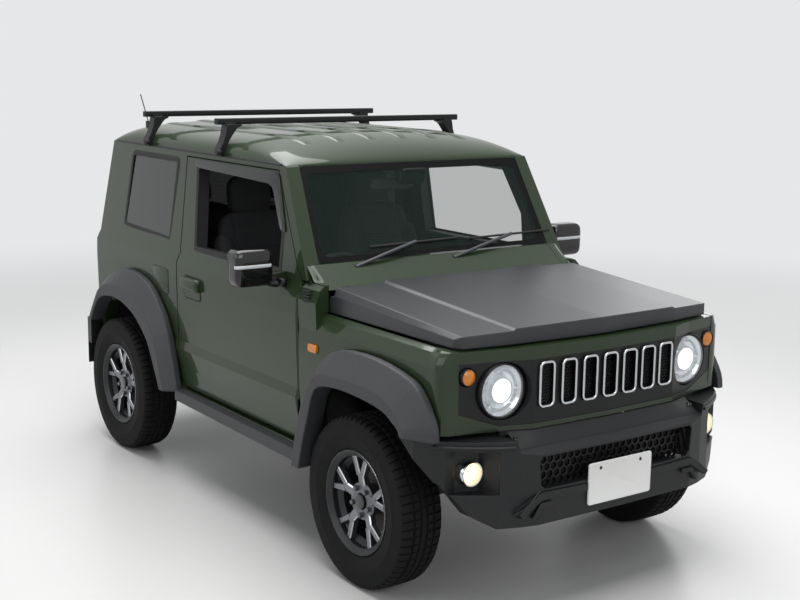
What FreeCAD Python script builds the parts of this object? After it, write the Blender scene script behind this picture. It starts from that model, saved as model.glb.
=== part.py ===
import FreeCAD, Part
import math
import os
import Sketcher

# Compact off-road car with two side doors, separate ladder frame and two solid axles.
# The front faces -Y, the rear +Y, +Z is up and the ground is z = 0.
# The car's own right side is -X. The origin is the middle of the footprint.

V = FreeCAD.Vector
doc = FreeCAD.newDocument("compact_4x4")
os.makedirs("parts", exist_ok=True)

# Driving sizes in millimetres. Places along the car are counted from the front axle.
SIZES = [
    ("wheelbase", 2250, "front axle to rear axle"),
    ("front_overhang", 662, "front axle to the number plate's face"),
    ("rear_overhang", 638, "rear axle to the spare wheel's outer face"),
    ("tyre_radius", 346.5, "195/80 R15 tyre"),
    ("tyre_half", 97.5, "half the tyre's width"),
    ("bead_radius", 193, "rim's bead seat"),
    ("track_front", 1395, "between the front tyres' middles"),
    ("track_rear", 1405, "between the rear tyres' middles"),
    ("spindle_radius", 30, "wheel spindle"),
    ("headlamp_radius", 108, "headlamp with its rim"),
    ("fog_radius", 48, "fog lamp with its rim"),
    ("shaft_fit", 0.05, "radial clearance of a pin or spindle in its hole"),
    ("kingpin_x", 625, "kingpin from the middle plane"),
    ("side_low", 724, "body side at the sill"),
    ("side_swage", 738, "body side at the swage"),
    ("side_under", 730, "body side just above the swage"),
    ("side_belt", 737, "body side under the belt"),
    ("side_shoulder", 714, "body side over the belt shoulder"),
    ("side_gutter", 665, "body side at the roof gutter"),
    ("gutter_z", 1605, "roof gutter height"),
    ("crown_z", 1722, "roof crown height"),
    ("belt_z", 1120, "top of the belt shoulder"),
    ("wall", 62, "thickness of door, tailgate and body side"),
    ("roof_wall", 34, "roof with its lining"),
    ("skin", 20, "outer layer of a door"),
    ("rebate", 27, "depth of the door opening's rebate"),
    ("gap", 6, "panel gap at a door"),
    ("door_front", 510, "seam between wing and door"),
    ("door_rear", 1650, "seam between door and quarter panel"),
    ("door_low", 453, "door's lower edge"),
    ("door_high", 1585, "door's upper edge"),
    ("sill_z", 1158, "window sill"),
    ("floor_z", 500, "top of the frame rails, where the floor sits"),
    ("body_rear", 2620, "rear face of the body"),
    ("rear_top", 2510, "rear face of the body at the roof"),
    ("screen_low_y", 508, "windscreen's lower edge"),
    ("screen_low_z", 1208, "windscreen's lower edge, height"),
    ("screen_top_y", 722, "windscreen's upper edge"),
    ("screen_top_z", 1599, "windscreen's upper edge, height"),
    ("gate_half", 590, "half the tailgate's width"),
    ("gate_low", 560, "tailgate's lower edge"),
    ("gate_gap", 9, "panel gap at the tailgate"),
    ("rail_in", 330, "frame rail's inner face"),
    ("rail_out", 395, "frame rail's outer face"),
    ("axle_tube", 40, "axle tube's radius"),
    ("bonnet_half", 665, "half the bonnet's width"),
    ("bonnet_hinge_y", 352, "bonnet hinge line"),
    ("bonnet_hinge_z", 1128, "bonnet hinge line, height"),
    ("door_axis_x", 722, "door hinge line"),
    ("door_axis_in", 16, "door hinge line behind the door's front edge"),
    ("gate_axis_x", 612, "tailgate hinge line"),
    ("gate_axis_y", 2640, "tailgate hinge line"),
    ("bumper_front", 655, "front bumper's face ahead of the axle"),
    ("plate_half", 165, "half the number plate's width"),
]


def plain(number):
    """A number as the sheet's formula writes it."""
    return "%.6f" % number if number >= 0 else "(%.6f)" % number


class Size:
    """A length that carries both its number and the sheet formula that gives it."""

    def __init__(self, value, text):
        self.value = float(value)
        self.text = text

    def __add__(self, other):
        other = sized(other)
        return Size(self.value + other.value, "(%s + %s)" % (self.text, other.text))

    def __radd__(self, other):
        return sized(other) + self

    def __sub__(self, other):
        other = sized(other)
        return Size(self.value - other.value, "(%s - %s)" % (self.text, other.text))

    def __rsub__(self, other):
        return sized(other) - self

    def __mul__(self, other):
        other = sized(other)
        return Size(self.value * other.value, "(%s * %s)" % (self.text, other.text))

    def __rmul__(self, other):
        return sized(other) * self

    def __truediv__(self, other):
        other = sized(other)
        return Size(self.value / other.value, "(%s / %s)" % (self.text, other.text))

    def __neg__(self):
        return Size(-self.value, "(0 - %s)" % self.text)


def sized(length):
    """Any plain number as a Size."""
    return length if isinstance(length, Size) else Size(length, plain(float(length)))


sheet = doc.addObject("Spreadsheet::Sheet", "Dims")
D = {}
for row, (alias, value, meaning) in enumerate(SIZES, start=1):
    sheet.set("A%d" % row, alias)
    sheet.set("B%d" % row, repr(value))
    sheet.set("C%d" % row, meaning)
    sheet.setAlias("B%d" % row, alias)
    D[alias] = Size(value, "Dims." + alias)
doc.recompute()

HALF_LENGTH = (D["front_overhang"] + D["wheelbase"] + D["rear_overhang"]) / 2
FRONT_AXLE = D["front_overhang"] - HALF_LENGTH
REAR_AXLE = FRONT_AXLE + D["wheelbase"]
MEASURED_WHEELBASE = 2250
HUB_Z = D["tyre_radius"]


def along(distance):
    """A place along the car, counted from the front axle towards the rear. What lies behind the
    middle of the measured car keeps its distance to the rear axle when the wheelbase changes."""
    if isinstance(distance, Size) or distance < MEASURED_WHEELBASE / 2:
        return FRONT_AXLE + distance
    return REAR_AXLE + (distance - MEASURED_WHEELBASE)


def path(pairs):
    """Corners (y, z) of a side outline, y counted from the front axle."""
    return [(along(y), sized(z)) for y, z in pairs]


def flat(pairs):
    """Corners of an outline as they stand."""
    return [(sized(a), sized(b)) for a, b in pairs]


def both_sides(pairs):
    """A right-hand outline (positive first number) closed by its mirror image."""
    right = [(sized(a), sized(b)) for a, b in pairs]
    left = [(-a, b) for a, b in reversed(right) if abs(a.value) > 1e-6]
    return right + left


def inset(corners, amounts):
    """The outline moved inwards, each edge by its own amount (negative moves outwards)."""
    points = [(a.value, b.value) for a, b in corners]
    count = len(points)
    if not isinstance(amounts, (list, tuple)):
        amounts = [amounts] * count
    area = 0.0
    for i in range(count):
        a, b = points[i], points[(i + 1) % count]
        area += a[0] * b[1] - b[0] * a[1]
    turn = 1.0 if area > 0 else -1.0
    normals = []
    for i in range(count):
        a, b = points[i], points[(i + 1) % count]
        run = math.hypot(b[0] - a[0], b[1] - a[1])
        normals.append((-(b[1] - a[1]) / run * turn, (b[0] - a[0]) / run * turn))
    moved = []
    for i in range(count):
        n1, n2 = normals[i - 1], normals[i]
        d1, d2 = sized(amounts[i - 1]), sized(amounts[i])
        cross = n1[0] * n2[1] - n1[1] * n2[0]
        a, b = corners[i]
        if abs(cross) < 1e-6:
            moved.append((a + d2 * n2[0], b + d2 * n2[1]))
        else:
            da = d1 * (n2[1] / cross) - d2 * (n1[1] / cross)
            db = d2 * (n1[0] / cross) - d1 * (n2[0] / cross)
            moved.append((a + da, b + db))
    return moved


class Ring:
    """A circle in an outline."""

    def __init__(self, a, b, radius):
        self.a = sized(a)
        self.b = sized(b)
        self.radius = sized(radius)


PLANES = {"x": "YZ_Plane", "y": "XZ_Plane", "z": "XY_Plane"}


class Piece:
    """A PartDesign body made of pads and pockets square to the car's axes."""

    def __init__(self, label):
        self.body = doc.addObject("PartDesign::Body", label)
        self.body.Label = label
        self.body.AllowCompound = True
        self.planes = {}
        for feature in self.body.Origin.OriginFeatures:
            self.planes[feature.Role] = feature

    def sketch(self, axis, at, loops):
        """Closed outlines on the plane square to the axis, every corner bound to the sheet."""
        sketch = self.body.newObject("Sketcher::SketchObject", self.body.Label + "_sketch")
        sketch.AttachmentSupport = [(self.planes[PLANES[axis]], "")]
        sketch.MapMode = "FlatFace"
        at = -sized(at) if axis == "y" else sized(at)
        sketch.AttachmentOffset = FreeCAD.Placement(V(0, 0, at.value), FreeCAD.Rotation())
        sketch.setExpression("AttachmentOffset.Base.z", at.text)
        drives = []
        for loop in loops:
            if isinstance(loop, Ring):
                edge = sketch.addGeometry(
                    Part.Circle(V(loop.a.value, loop.b.value, 0), V(0, 0, 1), loop.radius.value))
                drives.append(("DistanceX", edge, 3, loop.a))
                drives.append(("DistanceY", edge, 3, loop.b))
                drives.append(("Radius", edge, None, loop.radius))
                continue
            first = None
            count = len(loop)
            for i in range(count):
                a, b = loop[i], loop[(i + 1) % count]
                edge = sketch.addGeometry(Part.LineSegment(
                    V(a[0].value, a[1].value, 0), V(b[0].value, b[1].value, 0)))
                first = edge if first is None else first
                drives.append(("DistanceX", edge, 1, a[0]))
                drives.append(("DistanceY", edge, 1, a[1]))
            for i in range(count):
                sketch.addConstraint(Sketcher.Constraint(
                    "Coincident", first + i, 2, first + (i + 1) % count, 1))
        for kind, edge, point, size in drives:
            if kind == "Radius":
                index = sketch.addConstraint(Sketcher.Constraint(kind, edge, size.value))
            else:
                index = sketch.addConstraint(
                    Sketcher.Constraint(kind, -1, 1, edge, point, size.value))
            sketch.setExpression("Constraints[%d]" % index, size.text)
        return sketch

    def slab(self, axis, low, high, *loops):
        """Material between two planes square to the axis."""
        low, high = sized(low), sized(high)
        feature = self.body.newObject("PartDesign::Pad", self.body.Label + "_pad")
        feature.Profile = self.sketch(axis, high if axis == "y" else low, loops)
        feature.setExpression("Length", (high - low).text)
        self.body.Tip = feature
        return feature

    def cut(self, axis, low, high, *loops):
        """A pocket between two planes square to the axis."""
        low, high = sized(low), sized(high)
        feature = self.body.newObject("PartDesign::Pocket", self.body.Label + "_pocket")
        feature.Profile = self.sketch(axis, low if axis == "y" else high, loops)
        feature.setExpression("Length", (high - low).text)
        self.body.Tip = feature
        return feature

    def turned(self, loop, axis="H_Axis"):
        """A full revolution of an outline in the XY plane about one of its sketch's axes."""
        sketch = self.sketch("z", 0, [loop])
        feature = self.body.newObject("PartDesign::Revolution", self.body.Label + "_turn")
        feature.Profile = sketch
        feature.ReferenceAxis = (sketch, [axis])
        feature.Angle = 360
        self.body.Tip = feature
        return feature

    def mirrored(self, *features):
        """The named features repeated across the car's middle plane."""
        feature = self.body.newObject("PartDesign::Mirrored", self.body.Label + "_mirror")
        feature.Originals = list(features)
        feature.MirrorPlane = (self.planes["YZ_Plane"], [""])
        self.body.Tip = feature
        return feature


def joined(label, *pieces):
    """Several shapes fused into one."""
    fuse = doc.addObject("Part::MultiFuse", label)
    fuse.Label = label
    fuse.Shapes = [getattr(p, "body", p) for p in pieces]
    return fuse


def removed(label, base, *tools):
    """One shape less others."""
    cut = doc.addObject("Part::Cut", label)
    cut.Label = label
    cut.Base = getattr(base, "body", base)
    cut.Tool = getattr(tools[0], "body", tools[0]) if len(tools) == 1 else joined(label + "_tools", *tools)
    return cut


def shared(label, *pieces):
    """What several shapes have in common."""
    common = doc.addObject("Part::MultiCommon", label)
    common.Label = label
    common.Shapes = [getattr(p, "body", p) for p in pieces]
    return common


def mirror_of(label, source):
    """The same piece on the car's other side."""
    image = doc.addObject("Part::Mirroring", label)
    image.Label = label
    image.Source = getattr(source, "body", source)
    image.Normal = V(1, 0, 0)
    image.Base = V(0, 0, 0)
    return image


def prism(label, axis, low, high, *loops):
    piece = Piece(label)
    piece.slab(axis, low, high, *loops)
    return piece


def rod(label, axis, a, b, radius, low, high):
    """A round bar along one axis; a and b are its centre in the other two."""
    return prism(label, axis, low, high, Ring(a, b, radius))

def lofted(piece, first, second):
    """Straight-sided form between two outlines on parallel planes: (axis, at, loop) each."""
    start = piece.sketch(first[0], first[1], [first[2]])
    end = piece.sketch(second[0], second[1], [second[2]])
    feature = piece.body.newObject("PartDesign::AdditiveLoft", piece.body.Label + "_loft")
    feature.Profile = start
    feature.Sections = [end]
    feature.Ruled = True
    piece.body.Tip = feature
    return feature


# Body forms: one closed outer form of the cabin and smaller ones inside it. The walls between
# them are split along the real seams, so neighbouring panels always line up.

OUTER_HALF = [
    (690, 400), (D["side_low"] - 24, 440), (D["side_low"], 470), (D["side_low"] + 4, 560),
    (D["side_swage"], 648), (D["side_under"], 690), (D["side_under"] + 4, 860),
    (D["side_belt"], 1000), (D["side_belt"] - 2, D["belt_z"] - 45),
    (D["side_shoulder"], D["belt_z"]), (D["side_gutter"], D["gutter_z"]),
    (D["side_gutter"] - 10, D["gutter_z"] + 35), (600, D["crown_z"] - 42),
    (400, D["crown_z"] - 14), (0, D["crown_z"]),
]
INNER_HALF = [
    (D["side_low"] - D["wall"], 350), (D["side_low"] - D["wall"], 560),
    (D["side_under"] - D["wall"], 690), (D["side_belt"] - D["wall"], D["belt_z"] - 45),
    (D["side_shoulder"] - D["wall"], D["belt_z"]), (D["side_gutter"] - D["wall"], D["gutter_z"] - 5),
    (D["side_gutter"] - 84, D["crown_z"] - 86), (400, D["crown_z"] - D["roof_wall"] - 16),
    (0, D["crown_z"] - D["roof_wall"]),
]
SCREEN_LEAN = 1.14


def cabin_form(label, section, rear_depth, screen_depth, top_depth, start):
    """The cabin seen from behind, cut by the windscreen's slope and by the rear's lean."""
    form = Piece(label)
    form.slab("y", along(start), along(D["body_rear"]) - rear_depth, section)
    back = D["screen_low_y"] + SCREEN_LEAN * screen_depth
    top = D["screen_top_y"] + SCREEN_LEAN * screen_depth
    form.cut("x", -900, 900, path([
        (200, 1110), (back - 53.6, 1110), (top, D["screen_top_z"] - top_depth),
        (top + 24, D["screen_top_z"] + 30 - top_depth), (top + 78, D["crown_z"] - 61 - top_depth),
        (top + 178, D["crown_z"] - 27 - top_depth), (top + 330, D["crown_z"] - 6 - top_depth),
        (top + 480, D["crown_z"] + 4 - top_depth), (top + 480, 1900), (200, 1900)]))
    form.cut("x", -900, 900, path([
        (2270 - rear_depth, D["crown_z"] + 4 - top_depth),
        (2430 - rear_depth, D["crown_z"] - 32 - top_depth),
        (D["rear_top"] - rear_depth, D["crown_z"] - 78 - top_depth),
        (D["body_rear"] - rear_depth, 1100), (D["body_rear"] + 90, 1100),
        (D["body_rear"] + 90, 1900), (2270 - rear_depth, 1900)]))
    return form


OUTER = both_sides(OUTER_HALF)
form_outer = cabin_form("form_outer", OUTER, 0, 0, 0, 440)
form_skin = cabin_form("form_skin", inset(OUTER, D["skin"]), D["skin"], D["skin"], D["skin"], 430)
form_rebate = cabin_form(
    "form_rebate", inset(OUTER, D["rebate"]), D["rebate"], D["rebate"], D["rebate"], 420)
form_inner = cabin_form("form_inner", both_sides(INNER_HALF), D["wall"], 40, D["roof_wall"], 410)
doc.recompute()
shell = removed("shell", form_outer, form_inner)
layer_outer = removed("layer_outer", form_outer, form_skin)
layer_inner = removed("layer_inner", form_skin, form_inner)
layer_rebate = removed("layer_rebate", form_outer, form_rebate)

# Seams seen from the side (y from the front axle, z).
DOOR_SEAM = path([
    (D["door_front"], D["door_low"]), (D["door_rear"] - 54, D["door_low"]),
    (D["door_rear"] - 10, 600), (D["door_rear"], 720), (D["door_rear"], D["door_high"]),
    (775, D["door_high"]), (560, 1205), (D["door_front"], 1140)])
DOOR_HOLE = inset(DOOR_SEAM, [D["floor_z"] - D["door_low"] + 2, 12, 12, 12, 12, 12, 12, 12])
DOOR_WINDOW = path([
    (700, D["sill_z"]), (1492, D["sill_z"]), (1526, 1545), (830, 1545), (700, 1330)])
QUARTER_WINDOW = path([(1772, 1166), (2316, 1184), (2257, 1560), (1732, 1560)])
REAR_ARCH = path([
    (1700, 380), (1712, 470), (1770, 600), (1870, 715), (2000, 795), (2190, 838), (2390, 818),
    (2480, 745), (2530, 640), (2548, D["gate_low"]), (2548, 380)])
# Seams seen from behind.
GATE_SEAM = both_sides([
    (D["gate_half"], D["gate_low"]), (D["gate_half"], 1100), (D["gate_half"] - 42, 1588)])
GATE_HOLE = inset(GATE_SEAM, 13)
GATE_WINDOW = both_sides([(505, 1168), (470, 1535)])
SCREEN = both_sides([(634, D["screen_low_z"]), (600, D["gutter_z"])])


def side_frame():
    """Sill, pillars, roof rail and quarter panel of the right side, with all openings cut."""
    half = prism("right_half", "x", -900, 0, path([(300, 380), (2800, 380), (2800, D["gutter_z"]),
                                                   (300, D["gutter_z"])]))
    side = shared("side_blank", shell, half)
    door_step = shared("door_step", layer_rebate, prism("door_step_cut", "x", -900, -300, DOOR_SEAM))
    gate_step = shared("gate_step", layer_rebate, prism(
        "gate_step_cut", "y", along(2380), along(2800), GATE_SEAM))
    return removed(
        "side_panel_right", side, door_step, gate_step,
        prism("door_hole", "x", -900, -300, DOOR_HOLE),
        prism("wing_space", "x", -900, -692, path([
            (300, 380), (D["door_front"] + 16, 380), (D["door_front"] + 16, 1152), (300, 1152)])),
        prism("quarter_hole", "x", -900, -300, QUARTER_WINDOW),
        prism("rear_arch_hole", "x", -900, -300, REAR_ARCH),
        prism("gate_hole", "y", along(2380), along(2800), GATE_HOLE),
        prism("gate_top_hole", "y", along(2380), along(2800), flat([
            (-560, 1570), (560, 1570), (560, 1620), (-560, 1620)])),
        prism("screen_hole", "y", along(380), along(860), SCREEN),
        prism("scuttle_hole", "y", along(380), along(640), flat([
            (-634, 1080), (634, 1080), (634, D["screen_low_z"]), (-634, D["screen_low_z"])])),
        prism("rear_low_hole", "y", along(2500), along(2800), flat([
            (-900, 380), (900, 380), (900, D["gate_low"]), (-900, D["gate_low"])])))


def roof():
    """Roof with its lining, down to the gutters, and the header over the tailgate."""
    above = prism("roof_region", "z", D["gutter_z"], 1800, flat([
        (-900, along(-190)), (900, along(-190)), (900, along(2910)), (-900, along(2910))]))
    header = prism("header_region", "y", along(2380), along(2800), flat([
        (-560, 1570), (560, 1570), (560, D["gutter_z"]), (-560, D["gutter_z"])]))
    gate_step = shared("roof_gate_step", layer_rebate, prism(
        "roof_gate_step_cut", "y", along(2380), along(2800), GATE_SEAM))
    return removed(
        "roof_panel", shared("roof_blank", shell, joined("roof_space", above, header)), gate_step,
        prism("roof_gate_hole", "y", along(2380), along(2800), GATE_HOLE))


def screen_glass():
    """Laminated windscreen, flush with the pillars."""
    front = cabin_form("glass_front", OUTER, 0, 3, 0, 440)
    back = cabin_form("glass_back", OUTER, 0, 9, 0, 430)
    pane = removed("pane_layer", front, back)
    return shared("windscreen", pane, prism("screen_cut", "y", along(380), along(860), SCREEN))


def quarter_panes():
    """Fixed panes behind the doors, both sides."""
    front = cabin_form("quarter_front", inset(OUTER, 3), 0, 0, 0, 440)
    back = cabin_form("quarter_back", inset(OUTER, 9), -40, 0, 0, 430)
    pane = removed("quarter_layer", front, back)
    return shared("quarter_windows", pane, prism(
        "quarter_cut", "x", -900, 900, QUARTER_WINDOW))


def gate_pane():
    """Heated rear window in the tailgate."""
    front = cabin_form("gate_front", OUTER, 4, 0, 0, 440)
    back = cabin_form("gate_back", OUTER, 10, 0, 0, 430)
    return shared("tailgate_window", removed("gate_layer", front, back), prism(
        "gate_pane_cut", "y", along(2400), along(2800), GATE_WINDOW))


side_panel_right = side_frame()
side_panel_left = mirror_of("side_panel_left", side_panel_right)
roof_panel = roof()
windscreen = screen_glass()
quarter_windows = quarter_panes()
tailgate_window = gate_pane()
doc.recompute()

# Doors, tailgate and bonnet, with their hinges.

DOOR_AXIS_Y = D["door_front"] + D["gap"] + D["door_axis_in"]
HINGE_HEIGHTS = (610, 960)
HINGE_HALF = 30
PIN_RADIUS = 3.5


def door():
    """Right-hand door: outer skin to the seam, inner frame stepped in behind it, mirror."""
    skin_line = inset(DOOR_SEAM, [D["gap"], D["gap"], D["gap"], 8, D["gap"], D["gap"], D["gap"],
                                  D["gap"]])
    frame_line = inset(DOOR_HOLE, [7, 10, 10, 14, 7, 16, 22, 33])
    outer = shared("door_skin", layer_outer, prism("door_skin_cut", "x", -900, -300, skin_line))
    inner = shared("door_frame", layer_inner, prism("door_frame_cut", "x", -900, -300, frame_line))
    cuts = []
    knuckles = []
    for height in HINGE_HEIGHTS:
        cuts.append(prism("hinge_room", "x", -(D["door_axis_x"] + 6), -640, path([
            (D["door_front"], height - HINGE_HALF), (D["door_front"] + 62, height - HINGE_HALF),
            (D["door_front"] + 62, height + HINGE_HALF), (D["door_front"], height + HINGE_HALF)])))
        block = prism("hinge_block", "z", height - 10, height + 10, flat([
            (-(D["door_axis_x"] + 9), along(DOOR_AXIS_Y - 7)),
            (-(D["door_axis_x"] - 6), along(DOOR_AXIS_Y - 7)),
            (-(D["door_axis_x"] - 6), along(DOOR_AXIS_Y + 7)),
            (-(D["door_axis_x"] + 9), along(DOOR_AXIS_Y + 7))]))
        block.cut("z", height - 12, height + 12, Ring(
            -D["door_axis_x"], along(DOOR_AXIS_Y), PIN_RADIUS + D["shaft_fit"]))
        knuckles.append(block)
    cuts.append(prism("door_window_cut", "x", -900, -300, DOOR_WINDOW))
    cuts.append(prism("door_edge_bevel", "z", 400, 1300, flat([
        (-(D["door_axis_x"] + 2), along(D["door_front"] + D["gap"])),
        (-(D["door_axis_x"] + 38), along(D["door_front"] + D["gap"] + 32)),
        (-(D["door_axis_x"] + 38), along(D["door_front"] - 20)),
        (-(D["door_axis_x"] + 2), along(D["door_front"] - 20))])))
    panel = removed("door_panel", joined("door_layers", outer, inner), *cuts)
    mirror = Piece("door_mirror")
    back = flat([(-944, 1121), (-955, 1133), (-962, 1245), (-957, 1262), (-942, 1272), (-805, 1268),
                 (-790, 1261), (-785, 1247), (-785, 1137), (-789, 1125), (-802, 1120)])
    nose = flat([(-928, 1138), (-936, 1146), (-940, 1230), (-936, 1242), (-926, 1249), (-822, 1246),
                 (-812, 1240), (-808, 1231), (-808, 1150), (-811, 1141), (-820, 1137)])
    lofted(mirror, ("y", along(622), nose), ("y", along(646), back))
    mirror.slab("y", along(646), along(700), back)
    mirror.cut("y", along(694), along(710), inset(back, 7))
    mirror.slab("y", along(648), along(686), flat([
        (-800, 1124), (-800, 1158), (-697, 1170), (-697, 1128)]))
    handle = prism("door_handle", "z", 962, 984, flat([
        (-762, along(1400)), (-762, along(1552)), (-754, along(1562)), (-732, along(1562)),
        (-732, along(1540)), (-750, along(1530)), (-750, along(1420)), (-732, along(1410)),
        (-732, along(1390)), (-754, along(1390))]))
    return joined("door_right", panel, mirror, handle, *knuckles)


def door_hinges():
    """Fixed hinge leaves with their pins, on the right door pillar."""
    leaves = []
    for height in HINGE_HEIGHTS:
        for low in (height - 22, height + 13):
            leaves.append(prism("hinge_leaf", "z", low, low + 9, flat([
                (-692, along(DOOR_AXIS_Y - 23)), (-706, along(DOOR_AXIS_Y - 11)),
                (-(D["door_axis_x"] + 4), along(DOOR_AXIS_Y - 3.5)),
                (-(D["door_axis_x"] + 4), along(DOOR_AXIS_Y + 3.5)), (-692, along(DOOR_AXIS_Y + 3.5))])))
        leaves.append(rod("hinge_pin", "z", -D["door_axis_x"], along(DOOR_AXIS_Y), PIN_RADIUS,
                          height - 22, height + 22))
    return joined("hinge_leaves", *leaves)


def tailgate():
    """Side-hinged rear door with its hinge eyes and the spare wheel's carrier."""
    skin_line = inset(GATE_SEAM, D["gate_gap"])
    frame_line = inset(GATE_HOLE, [22, 22, 8, 8, 8, 10])
    outer = shared("gate_skin", layer_outer, prism(
        "gate_skin_cut", "y", along(2380), along(2800), skin_line))
    inner = shared("gate_frame", layer_inner, prism(
        "gate_frame_cut", "y", along(2380), along(2800), frame_line))
    panel = removed("gate_panel", joined("gate_layers", outer, inner), prism(
        "gate_window_cut", "y", along(2380), along(2800), GATE_WINDOW))
    carrier = Piece("spare_carrier")
    carrier.slab("y", along(D["body_rear"] - 4), along(2700), flat([
        (-120, SPARE_Z - 90), (120, SPARE_Z - 90), (120, SPARE_Z + 90), (-120, SPARE_Z + 90)]))
    carrier.slab("y", along(2690), along(2800), Ring(0, SPARE_Z, D["spindle_radius"]))
    eyes = []
    for height in GATE_HINGES:
        eye = prism("gate_eye", "z", height - 14, height + 14, flat([
            (-(D["gate_axis_x"] + 9), along(D["gate_axis_y"] - 9)), (-560, along(D["gate_axis_y"] - 9)),
            (-560, along(D["body_rear"] - 6)), (-520, along(D["body_rear"] - 6)),
            (-520, along(D["gate_axis_y"] + 9)), (-(D["gate_axis_x"] + 9), along(D["gate_axis_y"] + 9))]))
        eye.cut("z", height - 16, height + 16, Ring(
            -D["gate_axis_x"], along(D["gate_axis_y"]), 6 + D["shaft_fit"]))
        eyes.append(eye)
    return joined("tailgate", panel, carrier, *eyes)


def gate_hinges():
    """Fixed leaves and pins of the tailgate's hinges, on the rear corner."""
    leaves = []
    for height in GATE_HINGES:
        for low in (height - 34, height + 17):
            leaves.append(prism("gate_leaf", "z", low, low + 17, flat([
                (-660, along(D["body_rear"])), (-(D["gate_axis_x"] - 8), along(D["body_rear"])),
                (-(D["gate_axis_x"] - 8), along(D["gate_axis_y"] + 8)),
                (-(D["gate_axis_x"] + 8), along(D["gate_axis_y"] + 8)), (-660, along(D["body_rear"] + 8))])))
        leaves.append(rod("gate_pin", "z", -D["gate_axis_x"], along(D["gate_axis_y"]), 6,
                          height - 34, height + 34))
    return joined("gate_leaves", *leaves)


SPARE_Z = sized(872)
GATE_HINGES = (690, 1010)

door_right = door()
door_left = mirror_of("door_left", door_right)
hinge_leaves = door_hinges()
hinge_leaves_left = mirror_of("hinge_leaves_left", hinge_leaves)
gate_leaves = gate_hinges()
side_frame_right = joined("side_frame_right", side_panel_right, hinge_leaves, gate_leaves)
side_frame_left = joined("side_frame_left", side_panel_left, hinge_leaves_left)
tailgate = tailgate()
doc.recompute()


def placed(piece, x, y, z):
    """Moves a body to its place, bound to the sheet."""
    body = getattr(piece, "body", piece)
    body.Placement = FreeCAD.Placement(V(sized(x).value, sized(y).value, sized(z).value),
                                       FreeCAD.Rotation())
    body.setExpression("Placement.Base.x", sized(x).text)
    body.setExpression("Placement.Base.y", sized(y).text)
    body.setExpression("Placement.Base.z", sized(z).text)
    return body


def bar(label, start, end, radius):
    """A round bar between two points given as (x, y, z) Sizes."""
    a = V(*[sized(c).value for c in start])
    b = V(*[sized(c).value for c in end])
    cylinder = doc.addObject("Part::Cylinder", label)
    cylinder.Radius = sized(radius).value
    cylinder.setExpression("Radius", sized(radius).text)
    cylinder.Height = (b - a).Length
    cylinder.Placement = FreeCAD.Placement(a, FreeCAD.Rotation(V(0, 0, 1), b - a))
    return cylinder


def block(label, x0, x1, y0, y1, z0, z1):
    """A rectangular block; y is counted from the front axle."""
    return prism(label, "z", z0, z1, flat([
        (x0, along(y0)), (x1, along(y0)), (x1, along(y1)), (x0, along(y1))]))


def bonnet():
    """Bonnet with folded sides, its panel falling towards the front, and two hinge eyes."""
    top = Piece("bonnet_solid")
    lofted(top, ("y", along(405), both_sides([
        (D["bonnet_half"], 1032), (D["bonnet_half"], 1108), (648, 1142), (438, 1151), (426, 1159),
        (0, 1168)])),
        ("y", along(-535), both_sides([
            (D["bonnet_half"] - 10, 1034), (D["bonnet_half"] - 12, 1062), (636, 1076), (424, 1084),
            (412, 1091), (0, 1098)])))
    hollow = Piece("bonnet_hollow")
    lofted(hollow, ("y", along(410), both_sides([
        (D["bonnet_half"] - 20, 1000), (D["bonnet_half"] - 20, 1100), (632, 1120), (430, 1137),
        (0, 1147)])),
        ("y", along(-440), both_sides([
            (D["bonnet_half"] - 32, 1000), (D["bonnet_half"] - 32, 1050), (618, 1058), (430, 1072),
            (0, 1080)])))
    top.cut("z", 990, 1300, flat([
        (-720, along(-438)), (-655, along(-440)), (-636, along(-472)), (-430, along(-503)),
        (0, along(-530)), (430, along(-503)), (636, along(-472)), (655, along(-440)),
        (720, along(-438)), (720, along(-700)), (-720, along(-700))]))
    top.cut("z", 1100, 1300, flat([
        (-720, along(345)), (-650, along(343)), (0, along(282)), (650, along(343)),
        (720, along(345)), (720, along(520)), (-720, along(520))]))
    top.cut("x", -720, 720, path([(343, 1148), (405, 1028), (520, 1000), (520, 1300), (343, 1300)]))
    eyes = []
    for side in (-1, 1):
        eye = prism("bonnet_eye", "x", side * 560 - 7, side * 560 + 7, path([
            (240, 1118), (330, 1112), (D["bonnet_hinge_y"] - 6, 1116), (D["bonnet_hinge_y"] + 10, 1120),
            (D["bonnet_hinge_y"] + 10, 1136), (D["bonnet_hinge_y"] - 8, 1137), (318, 1137),
            (240, 1132)]))
        eye.cut("x", side * 560 - 9, side * 560 + 9, Ring(
            along(D["bonnet_hinge_y"]), D["bonnet_hinge_z"], 5 + D["shaft_fit"]))
        eyes.append(eye)
    return joined("bonnet", removed("bonnet_panel", top, hollow), *eyes)


def bulkhead():
    """Engine bulkhead with the scuttle under the windscreen and the bonnet's hinge ears."""
    wall = prism("scuttle", "x", -634, 634, path([
        (364, 1098), (364, 1110), (508, D["screen_low_z"]), (545, D["screen_low_z"]), (545, 1172),
        (495, 1165), (452, 1130), (452, D["floor_z"] + 10), (440, D["floor_z"] + 10), (440, 1128)]))
    wall.cut("y", along(430), along(460), flat([(-180, 480), (180, 480), (180, 671), (-180, 671)]))
    ears = []
    for side in (-1, 1):
        for low in (side * 560 - 16, side * 560 + 8):
            ears.append(prism("bonnet_ear", "x", low, low + 8, path([
                (D["bonnet_hinge_y"] - 8, D["bonnet_hinge_z"] - 8),
                (D["bonnet_hinge_y"] - 8, D["bonnet_hinge_z"] + 8),
                (D["bonnet_hinge_y"] + 8, D["bonnet_hinge_z"] + 8), (402, 1128), (402, 1108),
                (364, 1100)])))
        ears.append(rod("bonnet_pin", "x", along(D["bonnet_hinge_y"]), D["bonnet_hinge_z"], 5,
                        side * 560 - 16, side * 560 + 16))
    return joined("bulkhead", wall, *ears)


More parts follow.
